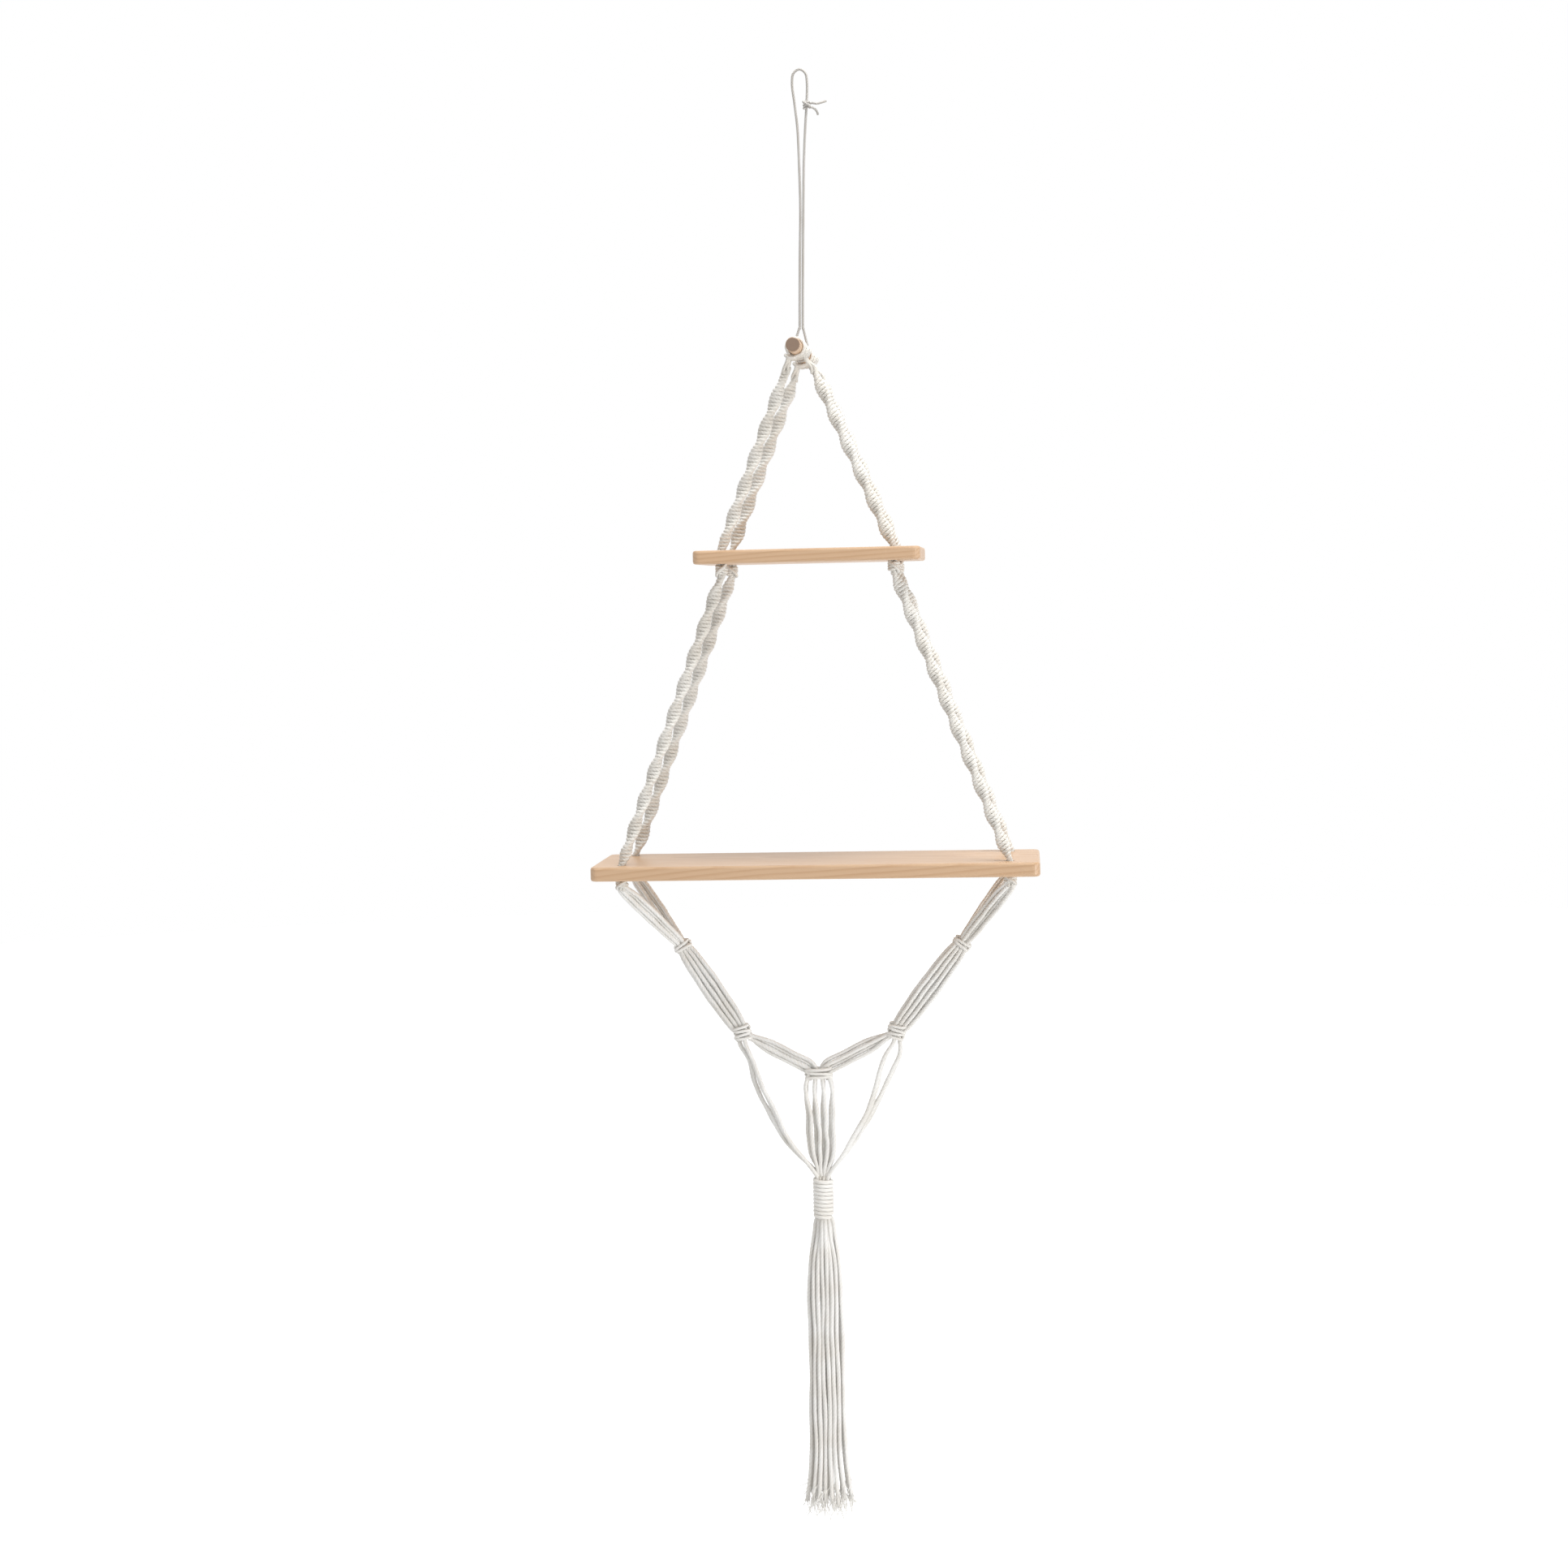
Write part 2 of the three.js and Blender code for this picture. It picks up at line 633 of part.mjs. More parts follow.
function addLowerRopes() {
  const upperX = upperLength / 2 - upperHoleInset;
  const lowerX = lowerLength / 2 - lowerHoleInset;
  const topZ = upperBottomZ - upperKnotHeight - touchGap * 2 - tipRadius;
  for (const row of rows) {
    for (const side of sides) {
      const top = v(upperShift + side.sign * upperX, row.y, topZ);
      const hole = v(lowerShift + side.sign * lowerX, row.y, lowerTopZ);
      const bottom = hole.clone().add(v(0, 0, tipRadius + touchGap));
      addRope(`${row.name}_${side.name}_lower_rope`, top, bottom);
      addStopKnot(`${row.name}_${side.name}_lower_knot`, hole, lowerThickness, lowerKnotDiameter, lowerKnotHeight);
    }
  }
  place('lower_board', boardGeometry(lowerLength, lowerThickness, lowerX), pineLook, v(lowerShift, 0, lowerTopZ));
}

addHanger();
addDowel();
addUpperRopes();
addLowerRopes();
sides.forEach(addNetSide);
addNetKnot('centre_knot', centreRadius, centreMiddle);
addCentreStrands();
addNeck();
addTassel();

const wrapGap = leastGap(wrapPoints(), cordDiameter);
console.log(`Least gap between the turns of the neck's winding: ${wrapGap.toFixed(2)} mm`);

export default shelf;
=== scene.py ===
"""Finishes the hanging rope shelf: twisted cotton cords and knots, pine boards, a dowel and a white stage."""

import math

import bpy
import numpy as np
from mathutils import Matrix, Vector


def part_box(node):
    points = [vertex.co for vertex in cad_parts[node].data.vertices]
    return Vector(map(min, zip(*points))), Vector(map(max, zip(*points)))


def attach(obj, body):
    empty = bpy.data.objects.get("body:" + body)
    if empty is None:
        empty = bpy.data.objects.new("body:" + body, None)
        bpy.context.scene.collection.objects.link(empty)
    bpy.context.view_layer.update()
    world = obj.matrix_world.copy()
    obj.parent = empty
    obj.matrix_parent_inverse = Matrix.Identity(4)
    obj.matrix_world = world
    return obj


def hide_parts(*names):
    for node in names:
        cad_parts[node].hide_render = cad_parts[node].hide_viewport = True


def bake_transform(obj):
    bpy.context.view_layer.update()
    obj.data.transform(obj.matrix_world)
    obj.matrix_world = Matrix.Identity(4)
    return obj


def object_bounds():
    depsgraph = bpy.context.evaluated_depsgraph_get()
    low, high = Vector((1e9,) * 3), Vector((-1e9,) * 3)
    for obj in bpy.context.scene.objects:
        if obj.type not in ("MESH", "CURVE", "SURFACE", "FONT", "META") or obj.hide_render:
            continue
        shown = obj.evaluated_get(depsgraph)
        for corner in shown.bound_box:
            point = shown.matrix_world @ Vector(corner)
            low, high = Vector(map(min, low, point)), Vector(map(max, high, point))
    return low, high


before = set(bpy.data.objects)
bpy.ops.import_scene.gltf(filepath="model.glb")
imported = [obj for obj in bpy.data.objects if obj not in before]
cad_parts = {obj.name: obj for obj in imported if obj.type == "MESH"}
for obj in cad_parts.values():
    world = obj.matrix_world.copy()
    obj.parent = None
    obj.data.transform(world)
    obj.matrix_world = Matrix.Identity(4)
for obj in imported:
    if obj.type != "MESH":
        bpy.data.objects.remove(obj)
cad_corners = [list(corner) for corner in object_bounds()]

bl_info = {
    "name": "Hanging rope shelf",
    "version": (1, 0, 0),
    "blender": (4, 5, 0),
    "location": "View3D > Sidebar > Rope shelf",
    "description": "Dresses the hanging rope shelf in knotted cotton cord and pine, on a white stage",
    "category": "Object",
}

ROWS = ("front", "back")
SIDES = ("left", "right")
CORNERS = [(row, side) for row in ROWS for side in SIDES]
TIERS = ("upper", "lower")
SIGN = {"left": -1, "right": 1}
DOWN = np.array([0.0, 0.0, -1.0])
UP = -DOWN
MM = 0.001


def centre_of(node):
    lowest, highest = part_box(node)
    return np.array((lowest + highest) / 2)


def top_of(node):
    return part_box(node)[1].z


def bottom_of(node):
    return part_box(node)[0].z


def half_of(node, axis):
    """Half the node's size along X, Y or Z (0, 1 or 2)."""
    lowest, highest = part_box(node)
    return (highest[axis] - lowest[axis]) / 2


def at_height(place, height):
    return np.array([place[0], place[1], height])


# Settings


def number(name, description, default, **kind):
    return bpy.props.FloatProperty(name=name, description=description, default=default, **kind)


def length(name, description, default):
    return number(name, description, default, unit="LENGTH", precision=5)


def share(name, description, default):
    return number(name, description, default, subtype="FACTOR")


def colour(name, description, *tone):
    return bpy.props.FloatVectorProperty(
        name=name, description=description, default=(*tone, 1), size=4, subtype="COLOR"
    )


def power(name, description, default):
    return number(name, description, default, unit="POWER")


class ShelfCordSettings(bpy.types.PropertyGroup):
    """Sizes and colours of the cords"""

    cord_diameter: length("Cord diameter", "Thickness of the three-ply cotton cord", 4 * MM)
    string_diameter: length("String diameter", "Thickness of the string above the dowel", 3 * MM)
    cord_lay: length("Cord lay", "Length in which the cord's plies turn once", 14 * MM)
    string_lay: length("String lay", "Length in which the string's plies turn once", 9 * MM)
    pitch: length("Cord pitch", "Distance between cords that lie side by side", 4.3 * MM)
    close_pitch: length("Close pitch", "Distance between cords pulled tight in a knot", 3.12 * MM)
    knot_pitch: length("Half knot pitch", "Height that one half knot takes up in a rope", 4.7 * MM)
    half_turn: length("Half turn", "Length in which a rope's half knots turn half round", 34 * MM)
    rope_width: length("Rope width", "Width of a knotted rope over its working cords", 15.4 * MM)
    rope_depth: length("Rope depth", "Depth of a knotted rope over its working cords", 9.6 * MM)
    fluff: share("Fluff share", "Thickness of a loose cord with its fuzz, as a share of the cord", 1.27)
    drawn_share: share("Drawn cord share", "Share of its thickness that a cord keeps when drawn tight", 1.25)
    crest: colour("Cord colour", "Colour of a drawn cord on the crests of its plies", 0.84, 0.82, 0.775)
    # Each groove colour, here and for the loose cords and the string, is painted shade between the plies.
    groove: colour("Groove colour", "Colour of a drawn cord between its plies", 0.71, 0.675, 0.62)
    # The loose colours make a lighter copy of the same cotton for the slack cords, knots of the net, binding
    # and frayed ends: painted light.
    loose_lit_crest: colour("Loose cord colour", "Colour of a slack cord on its crests", 0.95, 0.94, 0.915)
    loose_lit_groove: colour("Loose groove colour", "Colour of a slack cord between its plies", 0.89, 0.87, 0.83)
    string_crest: colour("String colour", "Colour of the thin string", 0.6, 0.58, 0.55)
    string_groove: colour("String groove colour", "Colour between the plies of the string", 0.3, 0.28, 0.26)


class ShelfWoodSettings(bpy.types.PropertyGroup):
    """Figure and colours of the boards and the dowel"""

    ring_spacing: length("Ring spacing", "Distance between growth rings in the boards", 3.6 * MM)
    pith_drop: length("Pith drop", "Depth of the trunk's middle under a board", 62 * MM)
    worn_width: length("Worn edge width", "Width of the paler worn edges of a board", 2 * MM)
    early: colour("Early wood", "Pale part of each growth ring", 0.57, 0.375, 0.225)
    late: colour("Late wood", "Dark part of each growth ring", 0.465, 0.275, 0.143)
    worn: colour("Worn edge", "Colour of the sanded edges", 0.62, 0.44, 0.28)
    dowel_early: colour("Dowel wood", "Pale part of the dowel's grain", 0.6, 0.4, 0.24)
    dowel_late: colour("Dowel grain", "Dark part of the dowel's grain", 0.36, 0.2, 0.1)
    # The dowel end colour is end grain, made darker still by painted shade on the end faces.
    dowel_end_grain_and_shade: colour("Dowel end", "Colour of the dowel's end grain", 0.165, 0.11, 0.08)


class ShelfStageSettings(bpy.types.PropertyGroup):
    """Camera, lamps and surroundings"""

    camera_place: bpy.props.FloatVectorProperty(
        name="Camera place",
        description="Where the camera stands",
        default=(0.2366, -2.8938, -0.5811),
        size=3,
        subtype="TRANSLATION",
        unit="LENGTH",
        precision=5,
    )
    camera_turn: bpy.props.FloatVectorProperty(
        name="Camera turn",
        description="The camera's yaw to the left, pitch up and roll",
        default=(math.radians(5.345), math.radians(-4.171), math.radians(-1.244)),
        size=3,
        subtype="EULER",
        unit="ROTATION",
    )
    camera_lens: number("Lens", "Focal length of the camera in millimetres", 59.06, unit="CAMERA")
    floor_drop: length("Floor drop", "Height at which the tassel hangs over the floor", 0.4)
    key_power: power("Key lamp", "Power of the lamp on the right", 57)
    top_power: power("Top lamp", "Power of the lamp overhead", 68)
    fill: share("Fill", "Strength of the plain light from all round", 0.69)


# Routes of cords, as arrays of points in metres


def unit(vector):
    return np.asarray(vector, float) / np.linalg.norm(vector)


def smooth_route(points, step):
    """Evenly spaced points on one smooth curve through the given points."""
    given = np.asarray(points, float)
    if len(given) > 2:
        ends = np.vstack([2 * given[0] - given[1], given, 2 * given[-1] - given[-2]])
        spans = [smooth_span(ends[i : i + 4]) for i in range(len(given) - 1)]
        given = np.vstack([*spans, given[-1:]])
    return evenly(given, step)


def smooth_span(four, samples=14):
    """The stretch of a centripetal curve between the second and third of four points."""
    knots = np.concatenate([[0], np.cumsum(np.sqrt(np.linalg.norm(np.diff(four, axis=0), axis=1)))])
    along = np.linspace(knots[1], knots[2], samples, endpoint=False)[:, None]

    def between(low, high, low_knot, high_knot):
        share_along = (along - knots[low_knot]) / (knots[high_knot] - knots[low_knot])
        return low * (1 - share_along) + high * share_along

    first = [between(four[i], four[i + 1], i, i + 1) for i in range(3)]
    second = [between(first[i], first[i + 1], i, i + 2) for i in range(2)]
    return between(second[0], second[1], 1, 2)


def evenly(route, step):
    """The route with its points a step apart, as nearly as its length allows."""
    gone = travelled(route)
    count = max(2, int(round(gone[-1] / step)))
    places = np.linspace(0, gone[-1], count + 1)
    return np.column_stack([np.interp(places, gone, route[:, axis]) for axis in range(3)])


def travelled(route):
    """How far along the route each of its points lies."""
    return np.concatenate([[0], np.cumsum(np.linalg.norm(np.diff(route, axis=0), axis=1))])


def group_frame(along):
    """The directions forward, across and front to back of a group of cords."""
    forward = unit(along)
    across = unit([forward[2], 0, -forward[0]])
    return forward, across, np.cross(forward, across)


def group_place(at, along, spot, pitch):
    """A cord's place in a group that runs along a direction: spot is its place across and front to back."""
    _, across, deep = group_frame(along)
    return at + (across * spot[0] + deep * spot[1]) * pitch


def group_routes(stations, step):
    """One smooth route for each cord of a group, through the same stations (at, along, layout, pitch)."""
    routes = []
    for i in range(len(stations[0][2])):
        points = [group_place(at, along, layout[i], pitch) for at, along, layout, pitch in stations]
        routes.append(smooth_route(points, step))
    return routes


# How far each kind of slack cord strays sideways, and the length of its waves, in metres.
SLACK = {
    "fan": (0.35 * MM, 0.045),
    "band": (0.4 * MM, 0.045),
    "inner_band": (0.3 * MM, 0.045),
    "side_strand": (0.7 * MM, 0.06),
    "centre_strand": (0.8 * MM, 0.07),
    "tassel": (0.8 * MM, 0.15),
}
# The start of the random draws for each kind.
SEEDS = {"fan": 4, "band": 11, "inner_band": 17, "side_strand": 23, "centre_strand": 31, "tassel": 7}


def loosened(route, kind, rng):
    """The route with the small sideways waves of its kind of slack cord, still at its two ends."""
    stray, wave = SLACK[kind]
    gone = travelled(route)
    total = gone[-1]
    calm = np.sin(np.pi * np.clip(gone / total, 0, 1)) ** 0.7
    moved = route.copy()
    for axis in (0, 1):
        for order in (1, 2.3):
            phase = rng.uniform(0, 2 * math.pi)
            size = stray * rng.uniform(0.4, 1) / order
            moved[:, axis] += size * calm * np.sin(gone * order * 2 * math.pi / wave + phase)
    return moved


# A working cord's way over the group in one half knot: shares out to the side, over the front, and along.
HALF_KNOT = ((1, 0.45, -0.3), (0.6, 1, -0.1), (0, 1.12, 0), (-0.6, 1, 0.1), (-1, 0.45, 0.3))


def half_knots(at, along, half_width, half_depth, count, pitch, step):
    """The two working cords of a square knot, which cross in front and behind by turns and draw it in."""
    forward, across, deep = group_frame(along)
    first = -(count - 1) / 2
    local = [(-0.55, -0.1, (first - 0.75) * pitch)]
    for i in range(count):
        here = -1 if i % 2 == 0 else 1
        middle = (first + i) * pitch
        for out, over, late in HALF_KNOT:
            local.append((here * out, -over, middle + late * pitch))
        local.append((-here * 1.06, -0.05, middle + 0.5 * pitch))
    last = local.pop()
    local.append((last[0] * 0.55, -0.1, (first + count - 0.25) * pitch))
    routes = []
    for turn in (1, -1):
        points = []
        for x, y, z in local:
            sideways = at + across * (x * turn * half_width)
            points.append(sideways + deep * (y * turn * half_depth) + forward * z)
        routes.append(smooth_route(points, step))
    return routes


# Cord diameters over which a rope narrows to its end, and the width that it keeps there.
ROPE_DRAW = 4
ROPE_END_SHARE = 0.45
# How the working cords hurry over each half knot and bulge in it, and the points drawn for each.
KNOT_HURRY = 0.4
KNOT_BULGE = 0.1
KNOT_POINTS = 10


def rope_routes(top, bottom, cords, phase):
    """The four cords of a rope of half knots: two fillers, and two working cords that spiral round them."""
    axis = bottom - top
    total = np.linalg.norm(axis)
    forward = unit(axis)
    across = unit(np.cross(forward, [0, 1, 0]))
    deep = np.cross(forward, across)
    thin = cords.cord_diameter * cords.drawn_share
    reach_x = (cords.rope_width - thin) / 2
    reach_y = (cords.rope_depth - thin) / 2
    knots = int(round(total / cords.knot_pitch))
    pitch = total / knots
    angle = np.linspace(0, knots * math.pi, knots * KNOT_POINTS + 1)
    gone = np.clip(pitch / math.pi * (angle + KNOT_HURRY * np.sin(2 * angle)), 0, total)
    near_end = np.clip(np.minimum(gone, total - gone) / (ROPE_DRAW * thin), 0, 1)
    drawn = ROPE_END_SHARE + (1 - ROPE_END_SHARE) * near_end * near_end * (3 - 2 * near_end)
    out = -reach_x * drawn * (1 + KNOT_BULGE * np.sin(2 * angle)) * np.cos(angle)
    front = -reach_y * drawn * np.sin(angle)
    core_gone = np.linspace(-thin, total + thin / 2, int(total / (2 * MM)))
    core_out = np.full(len(core_gone), thin / 2)
    routes = []
    for places, aside, deeper in ((gone, out, front), (core_gone, core_out, core_out * 0)):
        turn = math.pi * places / cords.half_turn + phase
        for flip in (1, -1):
            x = flip * (aside * np.cos(turn) - deeper * np.sin(turn))
            y = flip * (aside * np.sin(turn) + deeper * np.cos(turn))
            routes.append(top + np.outer(places, forward) + np.outer(x, across) + np.outer(y, deep))
    return routes


# Points drawn for each turn of a winding, the radians over which its ends are tucked in, and how far in.
WINDING_POINTS = 14
TUCK_TURN = 0.9
TUCK_SHARE = 0.45


def winding(at, radius, height, turns, lean, phase, step):
    """A cord wound round an upright bunch, leaning to one side, with its ends tucked in."""
    angles = np.linspace(0, turns * 2 * math.pi, int(turns * WINDING_POINTS) + 1)
    drop = np.linspace(height / 2, -height / 2, len(angles))
    tuck = np.clip(np.minimum(angles, angles[-1] - angles) / TUCK_TURN, 0, 1)
    out = radius * (TUCK_SHARE + (1 - TUCK_SHARE) * tuck)
    x = np.cos(angles + phase) * out
    y = np.sin(angles + phase) * out
    points = at + np.column_stack([x, y, drop + lean * x])
    return smooth_route(points, step)


# Meshes of cords

# Shares of the radius over one ply of a cord, from its groove on, and the rings drawn for each lay.
PLY_SHARES = (0.91, 0.98, 1.0, 0.98)
PLIES = 3
LAY_STEPS = 8
# Share of its thickness that a cord has at its two ends.
CORD_END = 0.8
# Radians between the twists of cords that lie side by side.
CORD_PHASE = 1.7
# Share of its thickness that a frayed thread loses, and the shares round that its sides take in the map.
THREAD_TAPER = 0.6
THREAD_SHARES = (0.15, 0.2)


def cross_frames(route):
    """A direction across the route at each point, carried along it without twisting."""
    along = np.gradient(route, axis=0)
    along /= np.linalg.norm(along, axis=1)[:, None]
    helper = np.array([0.0, 1.0, 0.0]) if abs(along[0][1]) < 0.8 else np.array([1.0, 0.0, 0.0])
    side = unit(np.cross(along[0], helper))
    across = []
    for direction in along:
        side = side - direction * np.dot(side, direction)
        side /= np.linalg.norm(side)
        across.append(side)
    return along, np.array(across)


def tube(gone, starts, ends, cap):
    """Faces and (length along, share round) of a tube of rings, closed at both ends.

    Each side of it takes the shares round from its start to its end, and the ends take that of the cap.
    """
    sides = len(starts)
    spans = len(gone) - 1
    rings = np.arange(spans)[:, None] * sides
    here = np.arange(sides)[None, :]
    after = (here + 1) % sides
    quads = np.stack([rings + here, rings + after, rings + sides + after, rings + sides + here], axis=2)
    caps = [list(range(sides))[::-1], list(range(spans * sides, (spans + 1) * sides))]
    low, high, start, end = (
        np.broadcast_to(values, (spans, sides)) for values in (gone[:-1, None], gone[1:, None], starts, ends)
    )
    lay_map = np.stack([low, start, low, end, high, end, high, start], axis=2).reshape(-1, 2)
    cap_map = [[gone[0], cap]] * sides + [[gone[-1], cap]] * sides
    return quads.reshape(-1, 4).tolist() + caps, np.vstack([lay_map, cap_map])


def cord_shell(route, diameter, lay, phase):
    """Corners, faces and map of one twisted cord."""
    shares = np.array(PLY_SHARES * PLIES)
    places = np.arange(len(shares)) / len(shares)
    along, across = cross_frames(route)
    upward = np.cross(along, across)
    gone = travelled(route)
    angles = places * 2 * math.pi + (gone / lay * 2 * math.pi + phase)[:, None]
    radii = np.tile(shares * diameter / 2, (len(route), 1))
    radii[0] *= CORD_END
    radii[-1] *= CORD_END
    corners = (
        route[:, None, :]
        + (np.cos(angles) * radii)[:, :, None] * across[:, None, :]
        + (np.sin(angles) * radii)[:, :, None] * upward[:, None, :]
    )
    ends = np.arange(1, len(shares) + 1) / len(shares)
    return corners.reshape(-1, 3), *tube(gone, places, ends, 0.5 / len(shares))


def thread_shell(route, diameter):
    """The same for a thin three-sided thread that tapers to its end."""
    along, across = cross_frames(route)
    upward = np.cross(along, across)
    corners = []
    for i, point in enumerate(route):
        radius = diameter / 2 * (1 - THREAD_TAPER * i / (len(route) - 1))
        for k in range(3):
            angle = 2 * math.pi * k / 3
            corners.append(point + (across[i] * math.cos(angle) + upward[i] * math.sin(angle)) * radius)
    left, right = THREAD_SHARES
    return corners, *tube(travelled(route), [left] * 3, [right] * 3, left)


def mesh_piece(name, shells, material):
    """One smooth-shaded object of tubes, with the map of the length along and the share round each."""
    corners, faces, lay_map = [], [], []
    count = 0
    for points, tube_faces, tube_map in shells:
        corners.append(points)
        faces += [[corner + count for corner in face] for face in tube_faces]
        lay_map.append(tube_map)
        count += len(points)
    mesh = bpy.data.meshes.new(name)
    mesh.from_pydata(np.vstack(corners).tolist(), [], faces)
    mesh.uv_layers.new(name="lay").data.foreach_set("uv", np.vstack(lay_map).astype(np.float32).ravel())
    mesh.polygons.foreach_set("use_smooth", [True] * len(mesh.polygons))
    mesh.materials.append(material)
    mesh.update()
    return linked(bpy.data.objects.new(name, mesh))


def linked(made):
    """The new object, put into the scene."""
    bpy.context.scene.collection.objects.link(made)
    return made


def cord_piece(name, routes, diameter, lay, material, phases=None):
    """One object of one or more twisted cords."""
    shells = []
    for i, route in enumerate(routes):
        phase = phases[i] if phases else i * CORD_PHASE
        shells.append(cord_shell(evenly(route, lay / LAY_STEPS), diameter, lay, phase))
    return mesh_piece(name, shells, material)


def loose_cords(name, routes, cords, phases=None):
    """Slack cords as one piece, drawn as thick as their fuzz."""
    thick = cords.cord_diameter * cords.fluff
    return cord_piece(name, routes, thick, cords.cord_lay, loose_lit_material(cords), phases)


def settle(piece, body, slot, *nodes):
    """The piece moves with a body, and takes the place of its CAD nodes if it has any."""
    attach(piece, body)
    stand_for(nodes)


def settle_between(piece, bodies, start, end, slot, *nodes):
    """Bakes the piece's place into its mesh, and draws it instead of its CAD nodes if it has any. The bodies,
    start and end are not used.
    """
    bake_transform(piece)
    stand_for(nodes)


def stand_for(nodes):
    """The piece is drawn instead of the nodes, which are hidden."""
    if nodes:
        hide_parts(*nodes)


# Materials


def feed(tree, value, socket):
    """Gives a socket a plain value, or links it to the socket that its value comes from."""
    if isinstance(value, bpy.types.NodeSocket):
        tree.links.new(value, socket)
    else:
        socket.default_value = value


def add_node(tree, kind, label, **values):
    """A node whose inputs, or else its own settings, are given by name."""
    made = tree.nodes.new(f"ShaderNode{kind}")
    made.label = label
    give(tree, made, values)
    return made


def give(tree, made, values):
    for key, value in values.items():
        name = key.replace("_", " ")
        if name in made.inputs:
            feed(tree, value, made.inputs[name])
        else:
            setattr(made, key, value)


def maths(tree, operation, first, second=None, label="", clamp=False):
    """A Math node whose inputs are sockets or plain numbers."""
    made = add_node(tree, "Math", label or operation.capitalize(), operation=operation, use_clamp=clamp)
    feed(tree, first, made.inputs[0])
    if second is not None:
        feed(tree, second, made.inputs[1])
    return made.outputs[0]


def mixed(tree, factor, first, second, label, blend="MIX"):
    """A colour mix whose inputs are sockets or plain values."""
    made = add_node(tree, "Mix", label, data_type="RGBA", blend_type=blend)
    for name, kind, value in (("Factor", "VALUE", factor), ("A", "RGBA", first), ("B", "RGBA", second)):
        feed(tree, value, next(s for s in made.inputs if s.name == name and s.type == kind))
    return next(s for s in made.outputs if s.type == "RGBA")


def new_group(name, inputs, outputs):
    """A shader node group with named inputs (name, kind, default) and outputs (name, kind)."""
    group = bpy.data.node_groups.new(name, "ShaderNodeTree")
    for label, kind, default in inputs:
        made = group.interface.new_socket(name=label, in_out="INPUT", socket_type=f"NodeSocket{kind}")
        made.default_value = default
    for label, kind in outputs:
        group.interface.new_socket(name=label, in_out="OUTPUT", socket_type=f"NodeSocket{kind}")
    given = group.nodes.new("NodeGroupInput")
    result = group.nodes.new("NodeGroupOutput")
    return group, given.outputs, result.inputs


def placed_group(tree, name, maker, **values):
    """A node that holds the group of that name, which the maker makes the first time."""
    made = tree.nodes.new("ShaderNodeGroup")
    made.node_tree = bpy.data.node_groups.get(name) or maker(name)
    made.label = name
    give(tree, made, values)
    return made


def noise(tree, vector, scale, detail, label):
    made = add_node(tree, "TexNoise", label, Vector=vector, Scale=scale, Detail=detail, Roughness=0.55)
    return made.outputs["Fac"]


def ranged(tree, value, low, high, to_low, to_high, label):
    """The value taken smoothly from one range to another, and held at its ends."""
    made = add_node(tree, "MapRange", label, clamp=True, interpolation_type="SMOOTHSTEP")
    for place, given in enumerate((value, low, high, to_low, to_high)):
        feed(tree, given, made.inputs[place])
    return made.outputs[0]


def place_on_shelf(tree):
    return add_node(tree, "TexCoord", "Place on the shelf").outputs["Object"]


# Metres by which the growth rings waver.
PINE_WAVER = 0.014
DOWEL_WAVER = 0.002

# What the groups of cotton and wood give to their materials.
LOOK_OUTPUTS = [("Color", "Color"), ("Roughness", "Float"), ("Height", "Float")]


